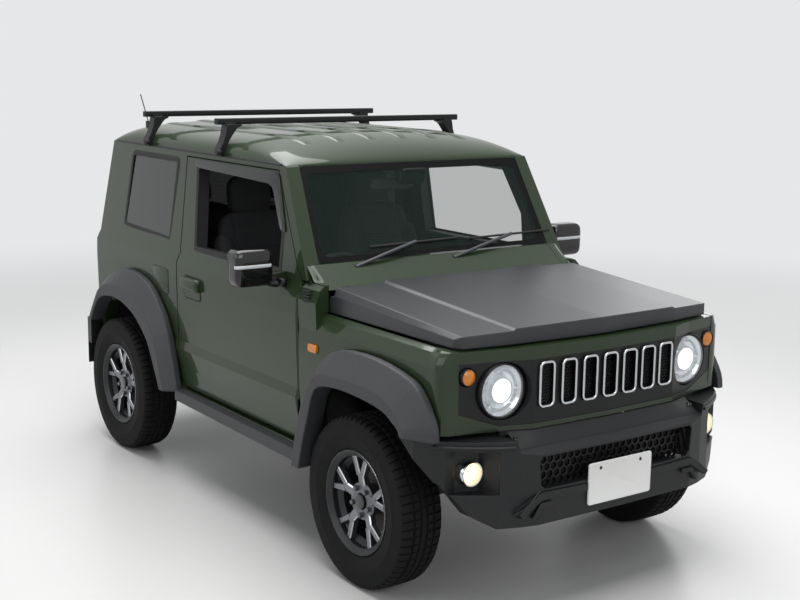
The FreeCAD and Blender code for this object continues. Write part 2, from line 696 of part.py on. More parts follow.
def wings():
    """Front wings with their wheelhouses."""
    wing = Piece("wing")
    wing.slab("y", along(-440), along(D["door_front"]), flat([
        (-720, 560), (-728, 690), (-732, 860), (-729, 965), (-702, 1016), (-673, 1028), (-673, 1008),
        (-690, 1000), (-709, 958), (-712, 860), (-708, 690), (-700, 560)]))
    wing.slab("y", along(374), along(D["door_front"]), flat([
        (-730, 960), (-735, 1075), (-714, 1122), (-690, 1146), (-673, 1146), (-673, 1124),
        (-698, 1110), (-715, 1070), (-709, 958)]))
    wing.cut("x", -900, -600, path([
        (380, 380), (365, 520), (318, 650), (262, 775), (120, 815), (-75, 818), (-245, 800),
        (-330, 758), (-460, 742), (-520, 700), (-520, 380)]))
    wing.slab("y", along(-430), along(400), flat([
        (-716, 914), (-716, 902), (-600, 892), (-506, 862), (-440, 776), (-424, 600), (-416, 600),
        (-432, 780), (-500, 872), (-598, 904)]))
    wing.cut("x", -692, -650, path([(438, 540), (520, 540), (520, 1160), (438, 1160)]))
    wing.slab("x", -712, -692, path([(450, 700), (500, 700), (500, 900), (450, 900)]))
    image = mirror_of("wing_left", wing)
    return joined("front_wings", wing, image)


def front_panel():
    """Painted frame of the car's face, with the lamp and radiator carrier behind it."""
    panel = Piece("front_panel")
    back = [(0, along(-578)), (370, along(-566)), (485, along(-530)), (668, along(-487)),
            (690, along(-470)), (701, along(-440))]
    outline = both_sides(back)
    panel.slab("z", 984, 1028, outline)
    panel.slab("z", 722, 741, outline)
    side = flat([(672, along(-486)), (700, along(-478)), (722, along(-464)), (732, along(-440)),
                 (672, along(-440))])
    one = panel.slab("z", 722, 984, side)
    panel.mirrored(one)
    panel.slab("y", along(-470), along(-440), both_sides([(701, 722), (701, 1010)]),
               both_sides([(330, 750), (330, 975)]))
    strip = prism("corner_strip", "z", 741, 803, flat([
        (485, along(-530)), (672, along(-486)), (672, along(-470)), (485, along(-500))]))
    corner = shared("face_corner", strip, prism("corner_line", "y", along(-560), along(-440), flat([
        (499, 741), (674, 802.8), (674, 741)])))
    return joined("front_panel", panel, corner, mirror_of("face_corner_right", corner))


def slot(middle, half_width, low, high):
    """Upright slot with short rounded corners."""
    bend = half_width * 0.45
    right = [(half_width - bend, low), (half_width - bend * 0.3, low + bend * 0.3),
             (half_width, low + bend), (half_width, high - bend),
             (half_width - bend * 0.3, high - bend * 0.3), (half_width - bend, high)]
    left = [(-1 * sized(x), z) for x, z in right[::-1]]
    return flat([(sized(x) + middle, z) for x, z in right + left])


def grille():
    """Seven upright slots with raised rims between two round lamp openings."""
    panel = Piece("grille")
    panel.slab("z", 741, 984, both_sides([
        (0, along(-576)), (368, along(-564)), (485, along(-528)), (670, along(-486)),
        (670, along(-470)), (480, along(-504)), (362, along(-541)), (0, along(-553))]))
    holes = []
    for number in range(-3, 4):
        panel.slab("y", along(SLOT_FACE[abs(number)]), along(-556), slot(104 * number, 37.5, 797, 973))
        holes.append(slot(104 * number, 29, 806, 964))
    panel.cut("y", along(-600), along(-500), *holes)
    panel.slab("y", along(-553), along(-548), both_sides([(355, 790), (355, 980)]))
    opening = D["headlamp_radius"] + 1
    panel.cut("y", along(-600), along(-460), Ring(HEAD_X, HEAD_Z, opening), Ring(-HEAD_X, HEAD_Z, opening))
    panel.cut("y", along(-600), along(-460), Ring(629, 935, 36), Ring(-629, 935, 36))
    for side in (-1, 1):
        panel.cut("y", along(-600), along(-400), flat([
            (side * 499, 730), (side * 499, 741.2), (side * 674, 803), (side * 674, 730)]))
    return panel


SLOT_FACE = [-583, -582, -578, -571]


def lamp(label, radius, front, back, bulge):
    """Round lamp with a domed lens facing forwards."""
    piece = Piece(label)
    piece.turned(flat([
        (0, -bulge), (radius * 0.45, -bulge * 0.86), (radius * 0.78, -bulge * 0.45),
        (radius * 0.95, 0), (radius, 3), (radius, back - front), (0, back - front)]), "V_Axis")
    return piece


FOG_X, FOG_Z, FOG_FRONT, FOG_BACK = 621, 579, -523, -487
HEAD_X, HEAD_Z = 486, 872


def lamps():
    """Headlamps; and in one node the turn signals, fog lamps and side markers."""
    heads = []
    for side in (-1, 1):
        heads.append(placed(lamp("headlamp", D["headlamp_radius"], -524, -470, 24), side * HEAD_X,
                            along(-524), HEAD_Z))
    small = []
    for side in (-1, 1):
        small.append(placed(lamp("signal", 33, -502, -470, 10), side * 629, along(-502), 935))
        small.append(placed(lamp("fog", D["fog_radius"], FOG_FRONT, FOG_BACK, 8), side * FOG_X,
                            along(FOG_FRONT), FOG_Z))
        small.append(prism("marker", "x", *sorted((side * 731.9, side * 741)), Ring(along(393), 885, 22)))
    small += tail_lamps()
    return joined("headlamps", *heads), joined("small_lamps", *small)


BUMPER_PLAN = [(0, -655), (400, -648), (475, -630), (555, -598), (640, -545), (702, -499), (746, -450),
               (784, -384), (802, -300)]
BUMPER_HOLLOW = [(465, -598), (520, -565), (548, -492), (668, -462), (716, -448), (752, -380),
                 (770, -300), (770, -280)]


def front_bumper():
    """Stepped plastic bumper with intake, fog lamp pockets and the raised guard arcs below."""
    bumper = Piece("front_bumper")
    outer = [(x, along(y)) for x, y in BUMPER_PLAN]
    hollow = [(x, along(y)) for x, y in BUMPER_HOLLOW]
    bumper.slab("z", 378, 705, both_sides(outer + [(560, along(-300)), (560, along(-440)),
                                                   (0, along(-440))]))
    bumper.cut("z", 360, 652, both_sides(
        [(0, along(-620)), (398, along(-620))] + hollow
        + [(540, along(-280)), (540, along(-420)), (0, along(-420))]))
    for side in (-1, 1):
        corners = [(side * x, y) for x, y in hollow[1:]] + [(side * 520, along(-280))]
        bumper.cut("z", 650, 688, flat(corners))
    bumper.cut("y", along(-700), along(-420), both_sides([(0, 740), (470, 740), (490, 700),
                                                          (480, 668)]))
    bumper.cut("x", -478, 478, path([(-700, 643), (-652, 643), (-618, 668), (-618, 760), (-700, 760)]))
    bumper.cut("x", -900, 900, path([
        (-250, 760), (-304, 708), (-455, 549), (-490, 389), (-500, 340), (-200, 340), (-200, 760)]))
    bumper.cut("y", along(-700), along(-580), both_sides([(374, 512), (392, 530), (402, 622), (388, 637)]))
    for side in (-1, 1):
        bumper.cut("y", along(-700), along(-280), flat([
            (side * 545, 370), (side * 640, 424), (side * 732, 545), (side * 830, 560),
            (side * 830, 340), (side * 545, 340)]))
        bumper.cut("z", 506, 668, flat([
            (side * 546, along(-680)), (side * 550, along(-592)), (side * 580, along(-510)),
            (side * 665, along(-480)), (side * 716, along(-484)), (side * 716, along(-680))]))
        bumper.cut("y", along(-600), along(FOG_BACK), Ring(side * FOG_X, FOG_Z, D["fog_radius"] + 0.2))
        for arc in ([(167, 472), (167, 499), (388, 505), (408, 498), (500, 436), (487, 418), (394, 477)],
                    [(438, 414), (424, 409), (394, 447), (345, 450), (345, 466), (402, 465)]):
            bumper.slab("y", along(-660), along(-622), flat([(side * x, z) for x, z in arc]))
    return bumper


def rear_bumper():
    """Low centre part with raised corners that carry the rear lamps."""
    bumper = Piece("rear_bumper_body")
    bumper.slab("z", 388, 505, both_sides([
        (0, along(2735)), (600, along(2722)), (740, along(2700)), (795, along(2640)),
        (800, along(2626)), (742, along(2626)), (742, along(2624)), (0, along(2624))]))
    bumper.cut("z", 370, 490, both_sides([
        (0, along(2705)), (590, along(2694)), (722, along(2674)), (766, along(2628)),
        (772, along(2540)), (0, along(2540))]))
    corner = flat([
        (600, along(2722)), (740, along(2700)), (795, along(2640)), (802, along(2576)),
        (742, along(2576)), (742, along(2624)), (600, along(2624))])
    one = bumper.slab("z", 504, 640, corner)
    bumper.mirrored(one)
    bumper.slab("y", along(2600), along(2708), both_sides([(420, 420), (420, 480)]))
    flaps = []
    for side in (-1, 1):
        low, high = sorted((side * 650, side * 765))
        flaps.append(block("flap", low, high, 2622, 2628, 300, 492))
    return joined("rear_bumper", bumper, *flaps)


def tail_lamps():
    """Rear lamp clusters set on the bumper's corners."""
    pieces = []
    for side in (-1, 1):
        pieces.append(prism("tail_lamp", "z", 528, 612, flat([
            (side * 612, along(2722 - 12 * 0.15714)), (side * 730, along(2722 - 130 * 0.15714)),
            (side * 733, along(2722 - 130 * 0.15714 + 9)), (side * 615, along(2722 - 12 * 0.15714 + 9))])))
    return pieces


FLARE_FRONT = (
    [(480, 400), (440, 560), (419, 684), (300, 835), (155, 926), (-98, 942), (-322, 909), (-408, 857),
     (-470, 768), (-482, 705)],
    [(420, 394), (390, 530), (352, 640), (285, 765), (202, 825), (-127, 841), (-264, 812), (-331, 757),
     (-362, 735), (-372, 705)],
    [(366, 394), (335, 511), (293, 634), (241, 757), (113, 792), (-69, 795), (-231, 778), (-309, 744),
     (-336, 726), (-346, 705)])
FLARE_REAR = (
    [(1600, 440), (1611, 482), (1696, 720), (1812, 860), (1959, 945), (2197, 967), (2420, 890),
     (2530, 755), (2588, 642)],
    [(1646, 440), (1662, 482), (1750, 690), (1852, 800), (1975, 862), (2195, 885), (2388, 850),
     (2494, 740), (2562, 642)],
    [(1690, 440), (1704, 470), (1790, 620), (1850, 688), (1984, 773), (2190, 821), (2384, 796),
     (2472, 730), (2532, 642)])


def eased(corners, steps=3):
    """The same line with more corners: each span bends as its neighbours ask."""
    out = []
    last = len(corners) - 1
    for i in range(last):
        before, a, b, after = (corners[max(0, min(last, i + k))] for k in (-1, 0, 1, 2))
        for step in range(steps):
            t = step / steps
            out.append(tuple(
                0.5 * (2 * q + (r - p) * t + (2 * p - 5 * q + 4 * r - w) * t * t
                       + (3 * q - p - 3 * r + w) * t ** 3)
                for p, q, r, w in zip(before, a, b, after)))
    return out + [corners[last]]


def flares():
    """Plastic arch flares, sill cladding between them; both sides."""
    pieces = []
    for outlines in (FLARE_FRONT, FLARE_REAR):
        outer, ridge, opening = (eased(corners) for corners in outlines)
        flare = Piece("flare")
        wide = path(outer + opening[::-1])
        flare.slab("x", -768, -739, wide)
        lofted(flare, ("x", -768, wide), ("x", -822, path(ridge + opening[::-1])))
        pieces.append(flare)
        pieces.append(mirror_of("flare_left", flare))
    sill = Piece("sill_cover")
    sill.slab("x", -778, -727, path([(480, 390), (1600, 402), (1600, 452), (480, 440)]))
    sill.slab("x", -740, -690, path([(480, 390), (1600, 390), (1600, 400), (480, 400)]))
    return joined("arch_flares", *pieces), joined("sill_cladding", sill, mirror_of("sill_left", sill))


bonnet_panel = bonnet()
bulkhead_wall = bulkhead()
front_wings = wings()
face = front_panel()
grille_panel = grille()
headlamps, small_lamps = lamps()
bumper_front = front_bumper()
bumper_rear = rear_bumper()
arch_flares, sill_cladding = flares()
doc.recompute()


# Underbody, axles and wheels.

def floor():
    """Floor pan with tunnel, raised rear floor and the rear wheelhouses."""
    pan = Piece("floor_sheet")
    width = D["side_low"] - D["wall"]
    pan.slab("x", -width, width, path([
        (440, D["floor_z"]), (1692, D["floor_z"]), (1692, 640), (1684, 640),
        (1684, D["floor_z"] + 10), (440, D["floor_z"] + 10)][::-1]))
    pan.slab("x", -560, 560, path([(1684, 640), (2558, 640), (2558, 650), (1684, 650)]))
    pan.cut("z", D["floor_z"] - 5, D["floor_z"] + 15, flat([
        (-170, along(430)), (170, along(430)), (170, along(1010)), (-170, along(1010))]))
    pan.slab("y", along(452), along(1020), flat([
        (-180, D["floor_z"]), (-180, 640), (-150, 670), (150, 670), (180, 640),
        (180, D["floor_z"]), (170, D["floor_z"]), (170, 636), (146, 660), (-146, 660), (-170, 636),
        (-170, D["floor_z"])]))
    pan.slab("y", along(1010), along(1020), flat([
        (-178, D["floor_z"] + 1), (178, D["floor_z"] + 1), (178, 640), (148, 668), (-148, 668),
        (-178, 640)]))
    house = Piece("wheelhouse")
    house.slab("x", -width, -560, inset(REAR_ARCH, -8), REAR_ARCH)
    house.cut("x", -900, -500, path([(1600, 300), (2620, 300), (2620, D["gate_low"]),
                                     (1600, D["gate_low"])]))
    inner = prism("wheelhouse_wall", "x", -568, -560, inset(REAR_ARCH, -8))
    inner.cut("x", -600, -540, path([(1600, 300), (2620, 300), (2620, D["gate_low"]),
                                     (1600, D["gate_low"])]))
    left = mirror_of("wheelhouse_left", house)
    inner_left = mirror_of("wheelhouse_wall_left", inner)
    return joined("floor_pan", pan, house, inner, left, inner_left)


def ladder_frame():
    """Two box rails that rise over both axles, tied by cross-members."""
    rail = prism("rail", "x", -D["rail_out"], -D["rail_in"], path([
        (-520, 520), (-330, 525), (-230, 650), (250, 650), (400, D["floor_z"]),
        (1760, D["floor_z"]), (1930, 640), (2470, 640), (2548, 552), (2600, 540), (2600, 445), (2490, 545),
        (1950, 545), (1790, 405), (390, 405), (235, 555), (-215, 555), (-320, 430), (-520, 430)]))
    ties = []
    for y0, y1, z0, z1 in ((-510, -460, 440, 500), (690, 740, 448, 470), (1150, 1200, 450, 492),
                           (1700, 1750, 456, 492), (2520, 2570, 480, 540)):
        ties.append(block("cross_member", -D["rail_in"], D["rail_in"], y0, y1, z0, z1))
    mounts = []
    for side in (-1, 1):
        low, high = sorted((side * 330, side * 395))
        mounts.append(block("bumper_bracket", low, high, -620, -520, 440, 500))
    return joined("chassis_frame", rail, mirror_of("rail_left", rail), *(ties + mounts))


def differential(label, y):
    """Turned housing of the final drive, off centre on the axle tube."""
    housing = Piece(label)
    housing.turned(flat([(-96, 0), (-96, 42), (-62, 84), (-24, 105), (24, 105), (62, 84), (96, 42), (96, 0)]))
    return placed(housing, 120, y, HUB_Z)


def front_axle():
    """Solid front axle with its differential, spring seats and the kingpin yokes."""
    tube = rod("front_tube", "x", along(0), HUB_Z, D["axle_tube"], -556, 556)
    parts = [tube]
    parts.append(differential("front_differential", along(0)))
    parts.append(bar("front_nose", (120, along(60), HUB_Z), (120, along(150), HUB_Z + 10), 42))
    for side in (-1, 1):
        low, high = sorted((side * 331, side * 400))
        parts.append(block("spring_seat", low, high, -45, 45, HUB_Z + 20, HUB_Z + 46))
        low, high = sorted((side * 552, side * 572))
        parts.append(block("yoke_web", low, high, -40, 40, HUB_Z - 84, HUB_Z + 84))
        low, high = sorted((side * 560, side * 650))
        for z0 in (-84, 62):
            parts.append(block("yoke_arm", low, high, -28, 28, HUB_Z + z0, HUB_Z + z0 + 22))
        parts.append(rod("kingpin", "z", side * D["kingpin_x"], along(0), 13, HUB_Z - 84, HUB_Z + 84))
    return joined("front_axle", *parts)


def rear_axle():
    """Solid rear axle with its differential, spring seats, drum plates and spindles."""
    tube = rod("rear_tube", "x", along(D["wheelbase"]), HUB_Z, D["axle_tube"], -600, 600)
    parts = [tube]
    parts.append(differential("rear_differential", along(D["wheelbase"])))
    parts.append(bar("rear_nose", (120, along(D["wheelbase"] - 60), HUB_Z),
                     (120, along(D["wheelbase"] - 150), HUB_Z + 10), 42))
    for side in (-1, 1):
        low, high = sorted((side * 331, side * 400))
        parts.append(block("spring_seat", low, high, 2205, 2295, HUB_Z + 20, HUB_Z + 46))
        low, high = sorted((side * 596, side * 606))
        parts.append(rod("drum_plate", "x", along(D["wheelbase"]), HUB_Z, 125, low, high))
        low, high = sorted((side * 600, side * (D["track_rear"] / 2 + 34).value))
        parts.append(rod("spindle", "x", along(D["wheelbase"]), HUB_Z, D["spindle_radius"],
                         low, high))
    return joined("rear_axle", *parts)


def knuckle():
    """Right steering knuckle: kingpin boss, spindle and steering arm."""
    boss = block("knuckle_boss", -650, -602, -34, 34, HUB_Z - 54, HUB_Z + 54)
    spindle = rod("knuckle_spindle", "x", along(0), HUB_Z, D["spindle_radius"],
                  -(D["track_front"] / 2 + 34), -640)
    arm = block("steering_arm", -640, -612, 30, 140, HUB_Z - 50, HUB_Z - 30)
    return removed("knuckle_right", joined("knuckle_body", boss, spindle, arm), rod(
        "kingpin_bore", "z", -D["kingpin_x"], along(0), 13 + D["shaft_fit"], HUB_Z - 60, HUB_Z + 60))


def suspension():
    """Coil springs, dampers and trailing arms of both axles."""
    pieces = []
    for axle in (0, D["wheelbase"]):
        for side in (-1, 1):
            coil = Piece("coil")
            top = (555 if axle == 0 else 545) - (HUB_Z + 46)
            turns = 5
            step = top / turns
            outline = [(0, 0), (44, 0)]
            for turn in range(turns):
                base = step * turn
                outline += [(52, base + step * 0.25), (52, base + step * 0.6), (40, base + step * 0.8)]
            outline = outline[:-1] + [(44, top), (0, top)]
            coil.turned(flat(outline), "V_Axis")
            coil.body.Placement = FreeCAD.Placement(
                V(side * 362.0, along(axle).value, (HUB_Z + 46).value), FreeCAD.Rotation(V(1, 0, 0), 90))
            pieces.append(coil)
        for side in (-1, 1):
            low, high = sorted((side * 300, side * 329.9))
            front = 0 if axle == 0 else MEASURED_WHEELBASE
            run = 1 if axle == 0 else -1
            corners = [(front - 30 * run, 300), (front - 30 * run, 372), (front + 50 * run, 372),
                       (front + 640 * run, 465), (front + 680 * run, 440), (front + 660 * run, 415),
                       (front + 80 * run, 300)]
            if run < 0:
                corners = corners[::-1]
            arm = prism("trailing_arm", "x", low, high, path(corners))
            arm.cut("x", low - 1, high + 1, Ring(along(axle), HUB_Z, D["axle_tube"]))
            pieces.append(arm)
    return joined("suspension", *pieces)


def tyre(label):
    """Hollow tyre, turned about the wheel's axis; u runs outwards from the wheel's middle."""
    half, top, seat = D["tyre_half"], D["tyre_radius"], D["bead_radius"]
    piece = Piece(label)
    right = [(60, seat), (74, seat), (76, seat + 17.5), (half - 12, seat + 22), (half - 3, seat + 45),
             (half, seat + 74), (half - 2, seat + 105), (half - 8, top - 18), (half - 18, top - 6),
             (half - 34, top - 1.5), (0, top)]
    inside = [(0, top - 15), (half - 36, top - 18), (half - 22, top - 34), (half - 13, top - 76),
              (half - 20, seat + 40), (64, seat + 20)]
    left = [(-1 * sized(u), r) for u, r in right[:-1]][::-1]
    inside_left = [(-1 * sized(u), r) for u, r in inside[1:]][::-1]
    piece.turned(flat(right + left) + flat(inside_left) + flat(inside))
    return piece


def rim(label, drum_radius, drum_in):
    """Alloy wheel with five split spokes, its hub and the brake disc or drum behind it."""
    seat = D["bead_radius"]
    piece = Piece(label)
    piece.turned(flat([
        (-84, seat + 16), (-77, seat + 16), (-75, seat), (-50, seat), (-40, seat - 22), (28, seat - 22),
        (44, seat), (75, seat), (77, seat + 16), (86, seat + 17), (87, seat + 10), (70, seat - 9),
        (48, seat - 10), (32, seat - 31), (-42, seat - 31), (-54, seat - 9), (-78, seat - 9),
        (-84, seat + 8)]))
    piece.turned(flat([
        (-30, D["spindle_radius"] + D["shaft_fit"]), (-30, 64), (26, 64), (30, 82), (52, 76), (58, 40),
        (62, 34), (62, 0), (38, 0), (38, D["spindle_radius"] + D["shaft_fit"])]))
    spoke = piece.slab("x", 34, 56, flat([(-22, 60), (22, 60), (26, 112), (64, 178), (-64, 178),
                                          (-26, 112)]), flat([(0, 120), (34, 172), (-34, 172)]))
    doc.recompute()
    pattern = piece.body.newObject("PartDesign::PolarPattern", label + "_spokes")
    pattern.Originals = [spoke]
    pattern.Axis = (piece.planes["X_Axis"], [""])
    pattern.Angle = 360
    pattern.Occurrences = 5
    piece.body.Tip = pattern
    piece.turned(flat([(drum_in, 50), (drum_in, drum_radius), (-12, drum_radius), (-12, 50)]))
    return piece


def wheel(name, side, y, track, drum_radius, drum_in):
    """Tyre and rim at their place, the wheel's outer face away from the car."""
    out = []
    for kind in ("tyre_", "rim_"):
        piece = tyre(kind + name) if kind == "tyre_" else rim(kind + name, drum_radius, drum_in)
        place = placed(piece, side * (track / 2), along(y), HUB_Z)
        if side < 0:
            place.Placement.Rotation = FreeCAD.Rotation(V(0, 0, 1), 180)
        out.append(piece.body)
    return out


def spare():
    """Spare wheel carried on the tailgate, with its smooth cover plate."""
    cover_y = D["wheelbase"] + D["rear_overhang"]
    piece = tyre("spare_tyre")
    body = piece.body
    body.Placement = FreeCAD.Placement(
        V(0, along(cover_y - D["tyre_half"] - 8).value, SPARE_Z.value), FreeCAD.Rotation(V(0, 0, 1), 90))
    plate = Piece("spare_plate")
    plate.slab("y", along(cover_y - 60), along(cover_y), Ring(0, SPARE_Z, D["bead_radius"] + 10))
    plate.slab("y", along(2800), along(cover_y - 50), Ring(0, SPARE_Z, D["bead_radius"]))
    return joined("spare_wheel", body, plate)


floor_pan = floor()
chassis_frame = ladder_frame()
axle_front = front_axle()
axle_rear = rear_axle()
knuckle_right = knuckle()
knuckle_left = mirror_of("knuckle_left", knuckle_right)
suspension_set = suspension()
WHEELS = {}
for name, side, y, track, drum_radius, drum_in in (
        ("front_right", -1, 0, D["track_front"], 140, -22), ("front_left", 1, 0, D["track_front"], 140, -22),
        ("rear_right", -1, D["wheelbase"], D["track_rear"], 118, -66),
        ("rear_left", 1, D["wheelbase"], D["track_rear"], 118, -66)):
    WHEELS[name] = wheel(name, side, y, track, drum_radius, drum_in)
spare_wheel = spare()
doc.recompute()


# Cabin furniture, drive line and the outside fittings.

def dashboard():
    """Dashboard between the pillars, with the instrument hood on the right."""
    board = prism("dash_body", "x", -634, 634, path([
        (456, 900), (456, 1125), (520, 1128), (690, 1095), (720, 1040), (700, 880), (640, 840)]))
    hood = prism("dash_hood", "x", -500, -240, path([(600, 1080), (610, 1150), (690, 1140), (715, 1060)]))
    console = block("console", -110, 110, 700, 1010, 670, 830)
    column = bar("steering_column", (-365, along(700.41), 987.35), (-365, along(801.85), 1014.53), 26)
    return joined("dashboard", board, hood, console, column)


def steering_wheel():
    """Steering wheel on the car's right: rim, three spokes and the boss."""
    ring = doc.addObject("Part::Torus", "steering_ring")
    ring.Radius1 = 178
    ring.Radius2 = 15
    boss = prism("steering_boss", "z", -25, 12, Ring(0, 0, 62))
    spokes = []
    for turn in (0, 1, 2):
        spoke = Piece("steering_spoke")
        spoke.slab("z", -6, 4, flat([(-18, 40), (18, 40), (18, 176), (-18, 176)]))
        spoke.body.Placement = FreeCAD.Placement(V(0, 0, 0), FreeCAD.Rotation(V(0, 0, 1), 105 * (turn - 1)))
        spokes.append(spoke)
    whole = joined("steering_wheel", ring, boss, *spokes)
    whole.Placement = FreeCAD.Placement(
        V(-365, along(826).value, 1021), FreeCAD.Rotation(V(1, 0, 0), -75))
    return whole


def seat(label, x0, x1, y, low, back_top):
    """Seat with cushion and leaning backrest on a plinth."""
    piece = Piece(label)
    piece.slab("x", x0, x1, path([
        (y, low + 190), (y - 15, low + 240), (y, low + 300), (y + 40, low + 310), (y + 400, low + 270),
        (y + 450, low + 330), (y + 590, back_top), (y + 650, back_top + 8), (y + 672, back_top - 30),
        (y + 585, low + 230), (y + 540, low + 180), (y + 30, low + 175)]))
    return piece


SEAT_FRONT = sized(960)


def front_seats():
    """Two front seats with headrests, each on its own plinth."""
    pieces = []
    for side in (-1, 1):
        x0, x1 = sorted((side * 120, side * 590))
        body = seat("front_seat", x0, x1, SEAT_FRONT, 500, 1330)
        x0, x1 = sorted((side * 170, side * 540))
        plinth = block("seat_plinth", x0, x1, SEAT_FRONT + 70, SEAT_FRONT + 490, 510, 690)
        x0, x1 = sorted((side * 230, side * 480))
        head = prism("headrest", "x", x0, x1, path([
            (SEAT_FRONT + 612, 1372), (SEAT_FRONT + 620, 1530), (SEAT_FRONT + 652, 1552),
            (SEAT_FRONT + 695, 1545), (SEAT_FRONT + 710, 1500), (SEAT_FRONT + 695, 1372)]))
        posts = []
        for shift in (-50, 50):
            posts.append(bar("headrest_post", (side * 355 + shift, along(SEAT_FRONT + 650), 1300),
                             (side * 355 + shift, along(SEAT_FRONT + 660), 1400), 7))
        pieces += [body, plinth, head] + posts
    return joined("front_seats", *pieces)


def rear_bench():
    """Rear bench between the wheelhouses, with two headrests."""
    body = seat("bench_body", -550, 550, 1740, 560, 1270)
    plinth = block("bench_plinth", -500, 500, 1800, 2200, 650, 740)
    pieces = [body, plinth]
    for side in (-1, 1):
        x0, x1 = sorted((side * 180, side * 400))
        pieces.append(prism("bench_head", "x", x0, x1, path([
            (2318, 1262), (2325, 1400), (2350, 1412), (2400, 1405), (2410, 1360), (2398, 1262)])))
    return joined("rear_bench", *pieces)


def power_unit():
    """Engine as one plain block on its mounts, gearbox, transfer case and both prop shafts."""
    engine = block("engine_block", -200, 200, -180, 360, 480, 900)
    mounts = block("engine_mounts", -D["rail_in"], D["rail_in"], 70, 130, 560, 600)
    gearbox = block("gearbox", -105, 105, 360, 880, 470, 635)
    transfer = block("transfer_case", -30, 165, 880, 1000, 400, 610)
    front_shaft = bar("front_shaft", (120, along(880), 432), (120, along(152.7), HUB_Z + 10), 25)
    rear_shaft = bar("rear_shaft", (120, along(1000), 432), (120, along(D["wheelbase"] - 152.7), HUB_Z + 10), 25)
    return joined("power_unit", engine, mounts, gearbox, transfer, front_shaft, rear_shaft)


def tank_and_exhaust():
    """Fuel tank under the floor; exhaust pipe with its silencer across the rear."""
    tank = block("tank_body", -292, -110, 1215, 1690, 380, D["floor_z"])
    pipe = rod("exhaust_pipe", "y", -60, 420, 24, along(300), along(2380))
    rise = rod("exhaust_rise", "z", -60, along(312), 24, 420, 480)
    silencer = rod("silencer", "x", along(2420), 440, 64, -300, 40)
    tail = rod("tail_pipe", "y", -260, 400, 22, along(2440), along(2600))
    hanger = block("exhaust_hanger", -140, -120, 2414, 2426, 490, 640)
    return joined("tank_and_exhaust", tank, pipe, rise, silencer, tail, hanger)


def roof_bars():
    """Two square roof bars on feet clamped at the gutters."""
    pieces = []
    for y in (1307, 2077):
        pieces.append(block("roof_bar", -692, 692, y - 15, y + 15, 1750, 1778))
        for side in (-1, 1):
            foot = prism("bar_foot", "y", along(y - 32), along(y + 32), flat(
                [(side * 676, 1606), (side * 663, 1606), (side * 656, 1650), (side * 640, 1752),
                 (side * 684, 1752), (side * 680, 1640)]))
            pieces.append(foot)
    return removed("roof_bars", joined("roof_bar_set", *pieces), form_outer)


def antenna():
    """Whip aerial at the right rear of the roof."""
    base = removed("aerial_base", rod("aerial_foot", "z", -560, along(2310), 16, 1676, 1716), form_outer)
    whip = bar("aerial_whip", (-560, along(2310), 1705), (-560, along(2405), 1850), 3)
    return joined("antenna", base, whip)


def number_plate():
    """Blank number plate."""
    return prism("number_plate", "y", along(-D["front_overhang"]), along(-D["bumper_front"]), flat([
        (-D["plate_half"], 410), (D["plate_half"], 410), (D["plate_half"], 573), (-D["plate_half"], 573)]))


dash = dashboard()
hand_wheel = steering_wheel()
seats = front_seats()
bench = rear_bench()
unit = power_unit()
tank = tank_and_exhaust()
bars = roof_bars()
aerial = antenna()
plate = number_plate()
doc.recompute()

NODES = {
    "chassis_frame": chassis_frame, "floor_pan": floor_pan, "bulkhead": bulkhead_wall,
    "side_frame_right": side_frame_right, "side_frame_left": side_frame_left,
    "roof_panel": roof_panel, "windscreen": windscreen, "quarter_windows": quarter_windows,
    "front_wings": front_wings, "front_panel": face, "grille": grille_panel,
    "headlamps": headlamps, "small_lamps": small_lamps,
    "front_bumper": bumper_front, "rear_bumper": bumper_rear, "number_plate": plate,
    "arch_flares": arch_flares, "sill_cladding": sill_cladding, "roof_bars": bars,
    "antenna": aerial, "dashboard": dash, "steering_wheel": hand_wheel, "front_seats": seats,
    "rear_bench": bench, "power_unit": unit, "tank_and_exhaust": tank,
    "suspension": suspension_set, "front_axle": axle_front, "rear_axle": axle_rear,
    "bonnet": bonnet_panel, "door_right": door_right, "door_left": door_left,
    "tailgate": tailgate, "tailgate_window": tailgate_window, "spare_wheel": spare_wheel,
    "knuckle_right": knuckle_right, "knuckle_left": knuckle_left,
}
for name, (tyre_body, rim_body) in WHEELS.items():
    NODES["tyre_" + name] = tyre_body
    NODES["rim_" + name] = rim_body

faults = []
for item in doc.Objects:
    if "Invalid" in item.State or "Error" in item.State:
        faults.append("%s: %s" % (item.Label, item.State))
for name, item in NODES.items():
    shape = getattr(item, "body", item).Shape
    if shape.isNull() or not shape.isValid() or not shape.Solids:
        faults.append("%s: no valid solid" % name)
if faults:
    raise RuntimeError("; ".join(faults))

for name, item in NODES.items():
    item = getattr(item, "body", item)
    if item.Label != name:
        item.Label = name
    item.Shape.exportStep("parts/%s.step" % name)
    print(name, len(item.Shape.Solids))
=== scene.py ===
# %% [markdown]
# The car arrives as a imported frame: every solid already has its place and moves with its joint.
# Everything made here is worked out in millimetres, with y counted from the front axle, and
# turned to metres in the frame's own axes at the last moment.
# %% Load the frame
import math
import bmesh
import bpy
import numpy as np
from mathutils import Matrix, Vector


